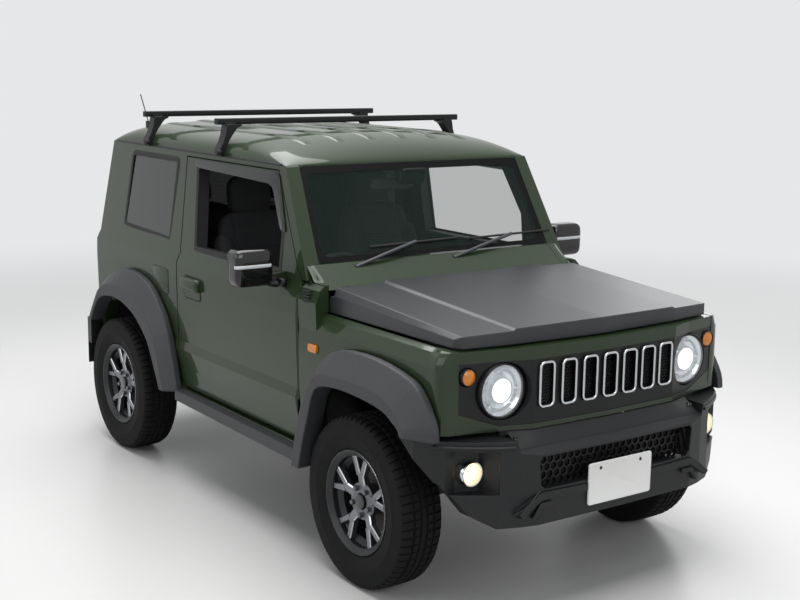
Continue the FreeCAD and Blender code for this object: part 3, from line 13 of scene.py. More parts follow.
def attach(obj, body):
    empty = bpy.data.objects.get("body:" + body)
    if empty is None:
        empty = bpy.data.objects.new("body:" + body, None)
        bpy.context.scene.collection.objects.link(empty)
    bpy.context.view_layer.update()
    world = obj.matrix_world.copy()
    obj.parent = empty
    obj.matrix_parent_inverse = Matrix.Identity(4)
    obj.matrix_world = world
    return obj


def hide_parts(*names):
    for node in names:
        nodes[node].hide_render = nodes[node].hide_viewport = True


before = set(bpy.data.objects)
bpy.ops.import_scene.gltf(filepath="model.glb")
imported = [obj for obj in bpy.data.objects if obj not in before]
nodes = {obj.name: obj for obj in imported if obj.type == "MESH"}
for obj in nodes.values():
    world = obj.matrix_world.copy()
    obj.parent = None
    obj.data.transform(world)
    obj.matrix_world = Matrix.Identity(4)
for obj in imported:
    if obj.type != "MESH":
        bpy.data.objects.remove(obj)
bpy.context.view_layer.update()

AXLE_Y = -1113.0
SIDES = ((-1, "right"), (1, "left"))

# %% [markdown]
# A surface is a grid of points. Two rows of neighbouring points make a strip of four-sided faces,
# and a grid that wraps round closes on itself. Faces are turned outwards once a piece is whole.
# %% Grid surfaces


def metres(points):
    """Millimetres with y from the front axle, as metres in the frame."""
    moved = np.asarray(points, float).reshape(-1, 3).copy()
    moved[:, 1] += AXLE_Y
    return moved / 1000.0


def grid(points, wrap_u=False, wrap_v=False):
    """Four-sided faces between neighbouring points of an (nu, nv, 3) array."""
    nu, nv = points.shape[:2]
    u = np.arange(nu if wrap_u else nu - 1)
    v = np.arange(nv if wrap_v else nv - 1)
    a, b = np.meshgrid(u, v, indexing="ij")
    a2, b2 = (a + 1) % nu, (b + 1) % nv
    faces = np.stack([a * nv + b, a2 * nv + b, a2 * nv + b2, a * nv + b2], -1).reshape(-1, 4)
    return points.reshape(-1, 3), [list(f) for f in faces.tolist()]


def lathe(profile, centre, axis, count):
    """Profile points (along, radius) carried round an axis; along is measured on the axis."""
    profile = np.asarray(profile, float)
    turn = np.linspace(0, 2 * math.pi, count, endpoint=False)
    a = np.repeat(profile[:, 0][:, None], count, 1)
    c = profile[:, 1][:, None] * np.cos(turn)
    s = profile[:, 1][:, None] * np.sin(turn)
    order = {"x": (a, c, s), "y": (c, a, s), "z": (c, s, a)}[axis]
    return grid(np.stack(order, -1) + np.asarray(centre, float), False, True)


def closed_lathe(profile, centre, axis, count=64):
    """A lathe whose profile is a closed ring, such as a bead or a rim."""
    profile = np.asarray(list(profile) + [profile[0]], float)
    return lathe(profile, centre, axis, count)


def capped(rings):
    """Rings of points joined into a wall, with a lid on the first ring and on the last."""
    points, faces = grid(np.asarray(rings, float), False, True)
    n = len(rings[0])
    return points, faces + [list(range(n)), list(range(len(points) - n, len(points)))]


def slab(outline, low, high, axis):
    """A flat outline (a, b) given thickness along an axis."""
    a, b = np.asarray(outline, float).T
    rings = []
    for level in (np.full(len(a), float(low)), np.full(len(a), float(high))):
        rings.append(np.stack({"x": (level, a, b), "y": (a, level, b), "z": (a, b, level)}[axis], -1))
    return capped(rings)


def tube(path, radius, sides):
    """A round section carried along a path, capped; the section stays square to the path."""
    path = np.asarray(path, float)
    run = np.gradient(path, axis=0)
    run /= np.linalg.norm(run, axis=1)[:, None]
    side = np.cross(run, (0.13, 0.21, 0.97))
    side /= np.linalg.norm(side, axis=1)[:, None]
    up = np.cross(run, side)
    turn = np.linspace(0, 2 * math.pi, sides, endpoint=False)[None, :, None]
    return capped(path[:, None, :] + radius * (np.cos(turn) * side[:, None] + np.sin(turn) * up[:, None]))


def both(part):
    """A part, and its mirror image on the car's other side."""
    points, faces = part
    return [part, (np.asarray(points) * (-1, 1, 1), [f[::-1] for f in faces])]


def rounded(outline, radius, steps=5):
    """An outline with each corner replaced by a short curve that starts a radius away from it."""
    points = np.asarray(outline, float)
    out = []
    t = np.linspace(0, 1, steps)[:, None]
    for i, corner in enumerate(points):
        before, after = points[i - 1], points[(i + 1) % len(points)]
        reach_a = min(radius, np.linalg.norm(before - corner) * 0.49)
        reach_b = min(radius, np.linalg.norm(after - corner) * 0.49)
        a = corner + (before - corner) / np.linalg.norm(before - corner) * reach_a
        b = corner + (after - corner) / np.linalg.norm(after - corner) * reach_b
        out.append((1 - t) ** 2 * a + 2 * t * (1 - t) * corner + t ** 2 * b)
    return np.concatenate(out)


def rectangle(a0, b0, a1, b1, radius, steps=5):
    """A rectangle with rounded corners, as an outline."""
    return rounded([(a0, b0), (a1, b0), (a1, b1), (a0, b1)], radius, steps)


def set_at(form, centre, lean):
    """A form made about the origin, leaned back about x and moved to its place."""
    x, y, z = np.asarray(form[0], float).T
    c, s = math.cos(lean), math.sin(lean)
    return np.stack([x, y * c - z * s, y * s + z * c], 1) + np.asarray(centre, float), form[1]


def piece(name, parts, material, body="vehicle", smooth=35, bevel=0.0):
    """Parts joined into one object, doubles merged, faces turned outwards, riding on its body."""
    points, faces, start = [], [], 0
    for part_points, part_faces in parts:
        points.append(metres(part_points))
        faces += [[i + start for i in f] for f in part_faces]
        start += len(points[-1])
    mesh = bpy.data.meshes.new(name)
    mesh.from_pydata(np.concatenate(points).tolist(), [], faces)
    shape = bmesh.new()
    shape.from_mesh(mesh)
    bmesh.ops.remove_doubles(shape, verts=shape.verts, dist=0.00005)
    bmesh.ops.recalc_face_normals(shape, faces=shape.faces)
    shape.to_mesh(mesh)
    shape.free()
    thing = bpy.data.objects.new(name, mesh)
    bpy.context.scene.collection.objects.link(thing)
    mesh.materials.append(material)
    if bevel:
        edges = thing.modifiers.new("edges", "BEVEL")
        edges.width, edges.segments = bevel / 1000.0, 2
        edges.limit_method, edges.angle_limit = "ANGLE", math.radians(40)
    mesh.shade_smooth()
    mesh.set_sharp_from_angle(angle=math.radians(smooth))
    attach(thing, body)
    print(name, len(mesh.polygons))
    return thing


# %% [markdown]
# Colours are written as the eye sees them on a screen and turned to light with one function.
# Each finish is one small network: a shader, and the texture that the real surface has.
# %% Finishes


def light(colour):
    """Screen colour #RRGGBB as linear light with full alpha."""
    value = [int(colour[i:i + 2], 16) / 255 for i in (1, 3, 5)]
    return [v / 12.92 if v <= 0.04045 else ((v + 0.055) / 1.055) ** 2.4 for v in value] + [1.0]


def node(tree, kind, values=None, links=None, **settings):
    """Adds one node with its settings, its plain values, and what feeds its sockets."""
    made = tree.nodes.new(kind)
    for key, value in settings.items():
        setattr(made, key, value)
    for key, value in (values or {}).items():
        made.inputs[key].default_value = value
    for key, source in (links or {}).items():
        tree.links.new(source, made.inputs[key])
    return made


def finish(name, colour, roughness, grain=0.0, grain_mm=1.0, tone=0.0, tone_mm=60.0, rough_swing=0.0,
           edge_mm=0.0, **values):
    """A shader whose colour drifts over tone_mm, with a bump of grain_mm; values set its sockets.
    Edges catch the light as if they were rounded to edge_mm."""
    material = bpy.data.materials.new(name)
    material.use_nodes = True
    tree = material.node_tree
    shader = tree.nodes["Principled BSDF"]
    shader.inputs["Base Color"].default_value = light(colour)
    shader.inputs["Roughness"].default_value = roughness
    for key, value in values.items():
        shader.inputs[key.replace("_", " ")].default_value = value
    place = node(tree, "ShaderNodeTexCoord").outputs["Object"]
    if tone or rough_swing:
        cloud = node(tree, "ShaderNodeTexNoise", {"Scale": 1000.0 / tone_mm, "Detail": 4.0}, {"Vector": place})
        if tone:
            dark = [c * (1 - tone) for c in light(colour)[:3]] + [1.0]
            pale = [min(1.0, c * (1 + tone)) for c in light(colour)[:3]] + [1.0]
            mix = node(tree, "ShaderNodeMix", {6: dark, 7: pale}, {0: cloud.outputs["Fac"]}, data_type="RGBA")
            tree.links.new(mix.outputs[2], shader.inputs["Base Color"])
        if rough_swing:
            low, high = roughness - rough_swing, roughness + rough_swing
            limits = {"To Min": low, "To Max": high}
            span = node(tree, "ShaderNodeMapRange", limits, {"Value": cloud.outputs["Fac"]})
            tree.links.new(span.outputs["Result"], shader.inputs["Roughness"])
    edge = node(tree, "ShaderNodeBevel", {"Radius": edge_mm / 1000.0}, samples=6) if edge_mm else None
    if edge:
        tree.links.new(edge.outputs["Normal"], shader.inputs["Normal"])
    if grain:
        fine = node(tree, "ShaderNodeTexNoise", {"Scale": 1000.0 / grain_mm, "Detail": 3.0}, {"Vector": place})
        depth = {"Strength": grain, "Distance": 0.0006}
        bump = node(tree, "ShaderNodeBump", depth, {"Height": fine.outputs["Fac"]})
        if edge:
            tree.links.new(edge.outputs["Normal"], bump.inputs["Normal"])
        tree.links.new(bump.outputs["Normal"], shader.inputs["Normal"])
    return material


paint = finish("enamel_green", "#24321D", 0.36, 0.02, 2.5, 0.06, 400, edge_mm=6.0, Coat_Weight=0.6,
               Coat_Roughness=0.04, Specular_IOR_Level=0.1)
bonnet_film = finish("satin_grey_film", "#2B2D30", 0.36, 0.03, 1.2, 0.05, 300, edge_mm=7.0)
plastic = finish("moulded_grained_plastic", "#131416", 0.46, 0.28, 1.6, 0.07, 90, rough_swing=0.06, edge_mm=5.0,
                 Specular_IOR_Level=0.35)
# A lighter copy of the black moulded plastic for the arch flares and sill cladding: its lighter colour is painted
# sheen standing in for the overhead light on the flares.
lighter_plastic_painted_sheen = finish("grained_plastic_painted_sheen", "#2C2D30", 0.52, 0.28, 1.6, 0.10, 140, rough_swing=0.06,
                       edge_mm=12.0)
gloss_black = finish("gloss_black_plastic", "#0B0B0C", 0.12, 0.0, 1, 0.03, 50, Coat_Weight=0.6,
                     Coat_Roughness=0.03, Specular_IOR_Level=0.3)
satin_black = finish("satin_black_plastic", "#0C0D0F", 0.36, 0.12, 1.5, 0.06, 60, edge_mm=3.0,
                     Specular_IOR_Level=0.3)
chrome = finish("chrome_plate", "#C9CCCE", 0.10, 0.0, 1, 0.02, 40, rough_swing=0.03, Metallic=1.0)
# A darker copy of the wheel's alloy for the barrel and lip: painted shade inside the wheel, so the spokes stand
# out against it.
alloy_shadow = finish("alloy_painted_shade_on_wheel_barrel", "#2E2F31", 0.4, 0.04, 1.5, 0.06, 50, Metallic=0.6)
alloy_dark = finish("gunmetal_lacquer_on_cast_alloy", "#6A6C70", 0.30, 0.04, 1.5, 0.06, 50, Metallic=0.8)
alloy_satin = finish("satin_clear_lacquer_on_alloy", "#7E8084", 0.32, 0.05, 1.5, 0.06, 40, Metallic=0.9)
alloy_bright = finish("machined_alloy", "#B4B6B8", 0.22, 0.05, 0.8, 0.04, 30, Metallic=1.0)
steel_black = finish("black_painted_steel", "#1B1B1C", 0.5, 0.2, 3.0, 0.12, 90, rough_swing=0.1)
cast = finish("sand_cast_iron", "#4B4A48", 0.7, 0.5, 3.0, 0.15, 60, rough_swing=0.1)
rubber = finish("tyre_rubber", "#0F0F10", 0.8, 0.25, 1.2, 0.10, 50, rough_swing=0.08, Specular_IOR_Level=0.2)
seal = finish("extruded_rubber_seal", "#101010", 0.7, 0.1, 1.0, 0.05, 30)
plate_white = finish("white_enamel_on_aluminium", "#E6E6E4", 0.35, 0.02, 2.0, 0.02, 60)
cloth = finish("woven_seat_cloth", "#2A2B2D", 0.9, 0.8, 1.8, 0.12, 25)
lining = finish("needled_roof_lining", "#B5B3AD", 0.95, 0.5, 2.0, 0.05, 60)
dash_plastic = finish("soft_touch_plastic", "#1D1E1F", 0.6, 0.3, 1.4, 0.06, 60)
amber = finish("amber_acrylic", "#D47A0C", 0.15, 0.0, 1, 0.05, 20, Coat_Weight=0.5)
red = finish("red_acrylic", "#A01216", 0.15, 0.0, 1, 0.05, 20, Coat_Weight=0.5)


def glass(name, colour, clear, coat=0.4, mirror_level=0.5):
    """Thin tinted glass: a gloss over a see-through tint, so that light passes with no bending."""
    material = finish(name, colour, 0.02, Alpha=clear, Coat_Weight=coat, Specular_IOR_Level=mirror_level)
    tree = material.node_tree
    place = node(tree, "ShaderNodeTexCoord").outputs["Object"]
    wave = node(tree, "ShaderNodeTexNoise", {"Scale": 3.0, "Detail": 1.0}, {"Vector": place})
    bump = node(tree, "ShaderNodeBump", {"Strength": 0.02, "Distance": 0.001}, {"Height": wave.outputs["Fac"]})
    tree.links.new(bump.outputs["Normal"], tree.nodes["Principled BSDF"].inputs["Normal"])
    return material


screen_tint = glass("laminated_screen_glass", "#1F302A", 0.26, coat=0.0, mirror_level=0.3)
dark_tint = glass("privacy_glass", "#101614", 0.86)
smoke = glass("smoked_acrylic", "#141516", 0.72)
clear_lens = glass("polycarbonate_lens", "#DDE4E6", 0.22)


def lit(name, colour, strength):
    """A lamp's glowing part: its own colour with a soft falloff over the reflector."""
    return finish(name, colour, 0.3, 0.0, 1, 0.04, 12, Emission_Color=light(colour), Emission_Strength=strength)


lamp_white = lit("lit_headlamp", "#F4F8FF", 2.2)
lamp_warm = lit("lit_fog_lamp", "#FFE6B8", 1.8)
# The reflector also glows faintly. This is painted light standing in for the light it reflects, since the
# reflector is no lamp.
reflector = finish("aluminised_reflector_painted_glow", "#D8DADC", 0.12, 0.1, 8.0, 0.05, 20, Metallic=1.0,
                   Emission_Color=light("#DDE6F2"), Emission_Strength=0.22)


def dress(material, *names):
    """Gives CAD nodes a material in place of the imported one."""
    for name in names:
        given = nodes[name].data.materials
        if len(given) == 0:
            given.append(material)
        for i in range(len(given)):
            given[i] = material


dress(paint, "side_frame_right", "side_frame_left", "roof_panel", "front_wings", "front_panel", "tailgate",
      "door_right", "door_left")
dress(bonnet_film, "bonnet")
dress(plastic, "front_bumper", "rear_bumper")
# Flares and sills take the lighter copy of the plastic; its lighter colour is painted sheen.
dress(lighter_plastic_painted_sheen, "arch_flares", "sill_cladding")
dress(satin_black, "grille", "bulkhead", "roof_bars")
dress(screen_tint, "windscreen")
dress(dark_tint, "quarter_windows", "tailgate_window")
dress(clear_lens, "headlamps", "small_lamps")
dress(steel_black, "chassis_frame", "floor_pan", "suspension", "front_axle", "rear_axle", "knuckle_right",
      "knuckle_left", "tank_and_exhaust", "antenna")
dress(cast, "power_unit")
dress(plate_white, "number_plate")
dress(cloth, "front_seats", "rear_bench")
dress(dash_plastic, "dashboard", "steering_wheel")
WHEEL_NAMES = ("front_right", "front_left", "rear_right", "rear_left")
dress(rubber, "spare_wheel", *["tyre_" + n for n in WHEEL_NAMES])
dress(alloy_dark, *["rim_" + n for n in WHEEL_NAMES])
print("finishes", len(bpy.data.materials))

# %% [markdown]
# The photograph's camera was solved from the car itself: wheelbase, tyres and plate. It is a little
# above eye height, in front and to the car's right. Soft boxes overhead and at the side light it.
# %% Camera, floor and lights
FOCAL_PIXELS, FRAME_PIXELS, SENSOR = 1312.67, 800, 36.0
YAW, PITCH, ROLL = (math.radians(a) for a in (54.4534, 10.5826, 0.8303))
eye = Vector((-3.50226, -5.20470, 2.07502))
ahead = Vector((math.cos(YAW) * math.cos(PITCH), math.sin(YAW) * math.cos(PITCH), -math.sin(PITCH)))
across = Vector((math.sin(YAW), -math.cos(YAW), 0))
above = across.cross(ahead)
camera_x = across * math.cos(ROLL) + above * math.sin(ROLL)
camera_y = above * math.cos(ROLL) - across * math.sin(ROLL)
camera = bpy.data.objects.new("camera", bpy.data.cameras.new("camera"))
camera.data.sensor_width = SENSOR
camera.data.lens = FOCAL_PIXELS * SENSOR / FRAME_PIXELS
camera.data.clip_end = 200
camera.matrix_world = Matrix((camera_x, camera_y, -ahead)).transposed().to_4x4()
camera.location = eye
bpy.context.scene.collection.objects.link(camera)
bpy.context.scene.camera = camera
bpy.context.scene.view_settings.view_transform = "Standard"

floor_mesh = bpy.data.meshes.new("studio_floor")
floor_mesh.from_pydata([(-30, -30, 0), (30, -30, 0), (30, 30, 0), (-30, 30, 0)], [], [[0, 1, 2, 3]])
floor = bpy.data.objects.new("studio_floor", floor_mesh)
bpy.context.scene.collection.objects.link(floor)
BACKGROUND = "#E6E7E8"
floor_paint = finish("pale_studio_floor", "#D9D9D7", 0.35, 0.0, 1, 0.02, 900)
floor_mesh.materials.append(floor_paint)


def sees_backdrop(tree):
    """One for rays from the camera, from a mirror-like surface or through glass, else nothing."""
    rays = node(tree, "ShaderNodeLightPath").outputs
    found = rays["Is Camera Ray"]
    for kind in ("Is Glossy Ray", "Is Transmission Ray"):
        found = node(tree, "ShaderNodeMath", {}, {0: found, 1: rays[kind]}, operation="MAXIMUM").outputs[0]
    return found


# The floor fades into the backdrop's own tone a few metres from the car, for eyes and reflections.
tree = floor_paint.node_tree
distance = node(tree, "ShaderNodeVectorMath", {}, {0: node(tree, "ShaderNodeTexCoord").outputs["Object"]},
                operation="LENGTH")
fade = node(tree, "ShaderNodeMapRange", {"From Min": 3.0, "From Max": 9.0},
            {"Value": distance.outputs["Value"]}, interpolation_type="SMOOTHSTEP")
share = node(tree, "ShaderNodeMath", {}, {0: fade.outputs["Result"], 1: sees_backdrop(tree)},
             operation="MULTIPLY")
haze = node(tree, "ShaderNodeEmission", {"Color": light(BACKGROUND), "Strength": 1.0})
near = tree.nodes["Principled BSDF"].outputs[0]
ground = node(tree, "ShaderNodeMixShader", {}, {0: share.outputs[0], 1: near, 2: haze.outputs[0]})
tree.links.new(ground.outputs[0], tree.nodes["Material Output"].inputs["Surface"])

world = bpy.data.worlds.new("studio")
bpy.context.scene.world = world
world.use_nodes = True
sky = world.node_tree
plain = sky.nodes["Background"]
plain.inputs["Color"].default_value = light("#C8CCD0")
plain.inputs["Strength"].default_value = 0.42
pale = node(sky, "ShaderNodeBackground", {"Color": light(BACKGROUND), "Strength": 1.0})
pick = node(sky, "ShaderNodeMixShader", {}, {0: sees_backdrop(sky), 1: plain.outputs[0], 2: pale.outputs[0]})
sky.links.new(pick.outputs[0], sky.nodes["World Output"].inputs["Surface"])


def soft_box(name, place, target, width, height, watts):
    """A rectangular lamp that looks at a point."""
    lamp = bpy.data.objects.new(name, bpy.data.lights.new(name, "AREA"))
    lamp.data.shape = "RECTANGLE"
    lamp.data.size, lamp.data.size_y, lamp.data.energy = width, height, watts
    lamp.location = place
    lamp.rotation_euler = (Vector(target) - Vector(place)).to_track_quat("-Z", "Y").to_euler()
    bpy.context.scene.collection.objects.link(lamp)


soft_box("overhead", (-0.4, 0.3, 5.4), (-0.4, 0, 0.5), 4.6, 8.0, 430)
soft_box("side_right", (-6.5, 0.5, 3.2), (0, 0, 0.8), 7.0, 2.5, 90)
soft_box("front", (-1.0, -7.5, 3.4), (0, -0.5, 0.7), 5.0, 2.5, 110)
soft_box("far_side", (6.5, 1.5, 3.2), (0, 0, 0.8), 5.0, 2.5, 80)
print("camera lens", round(camera.data.lens, 2))

# %% [markdown]
# Wheels. A tyre's tread is one surface: its radius drops by the groove's depth where a groove
# runs, and each row of blocks is turned a little round the wheel, so its side grooves slant. The
# alloy wheel has a turned barrel and five spokes that fork halfway out, with machined faces.
# %% Tyres
HUB = TYRE_TOP = 346.5
TREAD = [(-88, 12.0, 0), (-83, 6.5, 0), (-72, 2.0, 1), (-52, 0.7, 1), (-49, 0.6, 2), (-43, 0.5, 2), (-40, 0.4, 3),
         (-20, 0.1, 3), (-17, 0.1, 2), (-12, 0.0, 2), (-9, 0.0, 4), (9, 0.0, 4), (12, 0.0, 2), (17, 0.1, 2),
         (20, 0.1, 3), (40, 0.4, 3), (43, 0.5, 2), (49, 0.6, 2), (52, 0.7, 1), (72, 2.0, 1), (83, 6.5, 0),
         (88, 12.0, 0)]
PITCHES = 64


def tyre_surface(side, centre):
    """Radius over (across, round): side wall arcs joined to a tread whose rows of blocks are cut
    by lateral grooves at each pitch and parted by ring grooves 8 mm deep."""
    walls = [(62, 189), (74, 191), (77, 210), (84, 216), (91, 234), (95, 252), (96, 262), (97, 264), (97, 276),
             (96, 279), (95.5, 292), (94, 308), (92.5, 320), (91, 329)]
    across = [-u for u, _ in walls] + [u for u, _, _ in TREAD] + [u for u, _ in walls[::-1]]
    tops = [r for _, r in walls] + [TYRE_TOP - d for _, d, _ in TREAD] + [r for _, r in walls[::-1]]
    kinds = [-1] * len(walls) + [k for _, _, k in TREAD] + [-1] * len(walls)
    steps = np.array([0.0, 0.16, 0.20, 0.58, 0.62, 0.96])
    phase = np.concatenate([steps + i for i in range(PITCHES)])
    local = np.tile(steps, PITCHES)
    radius = np.repeat(np.array(tops, float)[:, None], len(phase), 1)
    turn = np.repeat((phase / PITCHES * 2 * math.pi)[None], len(across), 0)
    for row, (u, kind) in enumerate(zip(across, kinds)):
        groove = local < 0.18
        sipe = (local > 0.57) & (local < 0.63)
        lean = {1: 0.30, 2: 0.0, 3: 0.55, 4: 0.9}.get(kind, 0.3)
        turn[row] += lean * abs(u) / 90 * 2 * math.pi / PITCHES * (1 if u > 0 else -1)
        if kind == 2:
            radius[row] -= 8.0
        elif kind in (0, 1):
            radius[row] -= np.where(groove, 6.5, 0)
            radius[row] -= np.where(sipe, 1.5, 0)
        elif kind == 3:
            radius[row] -= np.where(groove, 5.0, 0)
        elif kind == 4:
            radius[row] -= np.where(sipe | (local < 0.02), 2.5, 0)
    x = np.repeat(np.array(across)[:, None], len(phase), 1) * side
    form = np.stack([x, radius * np.cos(turn), radius * np.sin(turn)], -1)
    return grid(form + np.asarray(centre, float), False, True)


def wheel_frame(name):
    """Side of the car, and the middle of the wheel in mm with y from the front axle."""
    side = -1 if name.endswith("right") else 1
    front = name.startswith("front")
    return side, (side * (697.5 if front else 702.5), 0.0 if front else 2250.0, HUB)


for name in WHEEL_NAMES:
    side, centre = wheel_frame(name)
    tread = [tyre_surface(side, centre)]
    carcass = piece("tyre_tread_" + name, tread, rubber, "wheel_" + name, smooth=28)
    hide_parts("tyre_" + name)

# %% Alloy wheels
LIP = [(-84, 209), (-77, 209), (-75, 193), (-50, 193), (-40, 171), (28, 171), (44, 193), (75, 193), (77, 209),
       (83, 211), (87, 208), (87, 203), (82, 196), (70, 184), (48, 183), (32, 162), (-42, 162), (-54, 184),
       (-78, 184), (-84, 201)]


def beam(start, end, widths, heights, tops, centre, side, spin):
    """A spoke's arm: a section with chamfered upper edges carried from start to end on the wheel's
    face; parts are told apart by height, so the machined face can be its own surface."""
    t = np.linspace(0, 1, 7)[:, None]
    axis = np.array(end, float) - np.array(start, float)
    path = np.array(start, float) + t * axis
    across = np.array([-axis[1], axis[0]]) / np.linalg.norm(axis)
    width = widths[0] + (widths[1] - widths[0]) * t
    height = heights[0] + (heights[1] - heights[0]) * t
    top = tops[0] + (tops[1] - tops[0]) * t ** 1.5
    section = [(-0.5, 1.0), (-0.5, 0.14), (-0.36, 0.0), (0.36, 0.0), (0.5, 0.14), (0.5, 1.0)]
    rows = []
    for k, drop in section:
        flat = path + across * (k * width)
        rows.append(np.concatenate([top - drop * height, flat], 1))
    block = np.stack(rows, 1)
    turn = np.array([[math.cos(spin), -math.sin(spin)], [math.sin(spin), math.cos(spin)]])
    out = block.copy()
    out[..., 1:] = block[..., 1:] @ turn.T
    out[..., 0] *= side
    return out + np.asarray(centre, float)


def arms(side, centre, part):
    """Five forked spokes; part is the dark body of each arm or its machined face."""
    made = []
    for i in range(5):
        spin = math.radians(90 + 72 * i)
        legs = [((38, 0), (118, 0), (44, 40), (26, 26), (50, 64)),
                ((108, -10), (190, -45), (27, 25), (24, 24), (63, 66)),
                ((108, 10), (190, 45), (27, 25), (24, 24), (63, 66))]
        for start, end, widths, heights, tops in legs:
            block = beam(start, end, widths, heights, tops, centre, side, spin)
            if part == "face":
                face = block[:, 2:4].copy()
                face[..., 0] += side * 0.4
                made.append(grid(face))
            elif part == "edges":
                for pair in (block[:, 1:3], block[:, 3:5]):
                    edge = pair.copy()
                    edge[..., 0] += side * 0.4
                    made.append(grid(edge))
            else:
                made.append(capped(block))
    return made


def sided(profile, side):
    """A profile (across, radius) turned to face the car's right or left."""
    return [(u * side, r) for u, r in profile]


for name in WHEEL_NAMES:
    side, centre = wheel_frame(name)
    body = "wheel_" + name
    hub_profile = sided([(-28, 32), (-28, 60), (30, 66), (46, 78), (52, 74), (54, 34), (40, 32)], side)
    alloy = piece("alloy_wheel_" + name, [closed_lathe(hub_profile, centre, "x"), *arms(side, centre, "body")],
                  alloy_dark, body, smooth=30)
    # The barrel and lip take the darker alloy, which is painted shade.
    piece("wheel_barrel_" + name, [closed_lathe(sided(LIP, side), centre, "x", 96)], alloy_shadow, body,
          smooth=30)
    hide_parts("rim_" + name)
    ring = sided([(84.4, 209.6), (86.4, 208.6), (86.9, 205.5), (85.6, 205.0)], side)
    piece("machined_faces_" + name, [*arms(side, centre, "edges"), closed_lathe(ring, centre, "x", 96)],
          alloy_bright, body)
    piece("satin_faces_" + name, arms(side, centre, "face"), alloy_satin, body)
    cap = sided([(40, 0.2), (40, 30), (62, 30), (64, 28), (65, 20), (65.5, 0.2)], side)
    nuts = []
    for i in range(5):
        a = math.radians(54 + 72 * i)
        spot = (centre[0], centre[1] + 57 * math.cos(a), centre[2] + 57 * math.sin(a))
        nut = sided([(50, 0.2), (50, 11), (66, 10.5), (69, 7), (70, 0.2)], side)
        nuts.append(lathe(nut, spot, "x", 6))
    piece("centre_cap_" + name, [lathe(cap, centre, "x", 48)], gloss_black, body)
    piece("wheel_nuts_" + name, nuts, alloy_dark, body, smooth=20)
    disc = sided([(-26, 62), (-26, 132), (-14, 132), (-14, 62)], side)
    piece("brake_" + name, [closed_lathe(disc, centre, "x", 72)], cast, body)

# %% [markdown]
# The pressed panels are painted outside and trimmed inside, so a panel's inward faces take the
# trim's finish. Details that lie on a panel are laid against it by looking along an axis.
# %% Panel sides and looking at a panel


def dress_where(name, material, test):
    """Gives a second material to those faces of a CAD node that pass a test on centre and normal."""
    mesh = nodes[name].data
    world = nodes[name].matrix_world
    turned = world.to_3x3()
    mesh.materials.append(material)
    number = len(mesh.materials) - 1
    count = 0
    for face in mesh.polygons:
        spot = world @ face.center * 1000
        if test(spot.x, spot.y - AXLE_Y, spot.z, turned @ face.normal):
            face.material_index = number
            count += 1
    print(name, material.name, count)


trim = finish("grained_trim_panel", "#1D1E1F", 0.62, 0.3, 1.5, 0.06, 80)
for side, word in SIDES:
    for name in ("side_frame_" + word, "door_" + word):
        dress_where(name, trim, lambda x, y, z, n, s=side: n.x * s < -0.35 and 430 < y < 2600
                    and abs(x) < 745 and z > 520)
        # This mask gives the window reveals the black of their seals. It also darkens the doors' front, rear and
        # top edge faces in the shut lines, which is painted shade standing in for the dark gaps.
        dress_where(name, trim, lambda x, y, z, n: 560 < y < 2600 and z > 1150 and (n.y > -0.3 or y > 900)
                    and abs(x) < 694 - (z - 1166) * 0.0885)
    dress_where("door_" + word, gloss_black, lambda x, y, z, n: abs(x) > 772 and z > 1100)
    dress_where("door_" + word, trim, lambda x, y, z, n: abs(x) > 736 and 1115 < z < 1180 and y < 700)
dress_where("bulkhead", paint, lambda x, y, z, n: z > 1060 and (n.z > 0.2 or n.y < -0.2))
dress_where("roof_panel", lining, lambda x, y, z, n: n.z < -0.3)
dress_where("tailgate", trim, lambda x, y, z, n: n.y < -0.35)
dress_where("front_panel", satin_black, lambda x, y, z, n: n.y > 0.35)
dress_where("bonnet", satin_black, lambda x, y, z, n: n.z < -0.3)


def look(names, start, way):
    """First point of the named nodes seen from start along an axis, in mm, or None."""
    best = None
    origin = Vector(metres([start])[0])
    for name in names:
        thing = nodes[name]
        back = thing.matrix_world.inverted()
        hit, spot, _, _ = thing.ray_cast(back @ origin, (back.to_3x3() @ Vector(way)).normalized())
        if hit:
            spot = thing.matrix_world @ spot
            far = (spot - origin).length
            if best is None or far < best[0]:
                best = (far, (spot.x * 1000, spot.y * 1000 - AXLE_Y, spot.z * 1000))
    return best[1] if best else None


def side_x(y, z, names=("door_right", "side_frame_right", "front_wings"), fallback=-735.0):
    spot = look(names, (-1200, y, z), (1, 0, 0))
    return spot[0] if spot else fallback


# %% [markdown]
# Front end. The grille is a black moulding with seven upright slots, each edged with a plated ring
# and backed by a honeycomb mesh. The round headlamps have a bright reflector with a lit projector
# lens behind clear plastic; direction lamps and fog lamps are small versions of the same.
# %% Grille rings and mesh


def band(outline, width, section, place):
    """A section (reach, lift) swept round a closed outline; place turns (a, b, lift) into x, y, z."""
    flat = np.asarray(outline, float)
    run = np.roll(flat, -1, 0) - np.roll(flat, 1, 0)
    run /= np.linalg.norm(run, axis=1)[:, None] + 1e-9
    out = np.stack([run[:, 1], -run[:, 0]], 1)
    if ((flat - flat.mean(0)) * out).sum() < 0:
        out = -out
    rows = []
    for reach, lift in section:
        at = flat + out * reach * width
        rows.append(np.stack(place(at[:, 0], at[:, 1], np.full(len(at), float(lift))), 1))
    return grid(np.stack(rows), True, True)


def ahead_of(face):
    """Places (x, z, lift) in front of an upright face at y = face."""
    return lambda a, b, lift: (a, face - lift, b)


ARCH = [(0, -0.6), (0, 3), (0.25, 5), (0.75, 5), (1, 3), (1, -0.6)]
SLOT_FACE = [-583, -582, -578, -571]
slots = [(i - 3) * 104 for i in range(7)]
rings = [band(rectangle(x - 29, 806, x + 29, 964, 15, 6), 9.5, ARCH, ahead_of(SLOT_FACE[abs(i - 3)]))
         for i, x in enumerate(slots)]
piece("grille_slot_rings", rings, chrome, smooth=50)


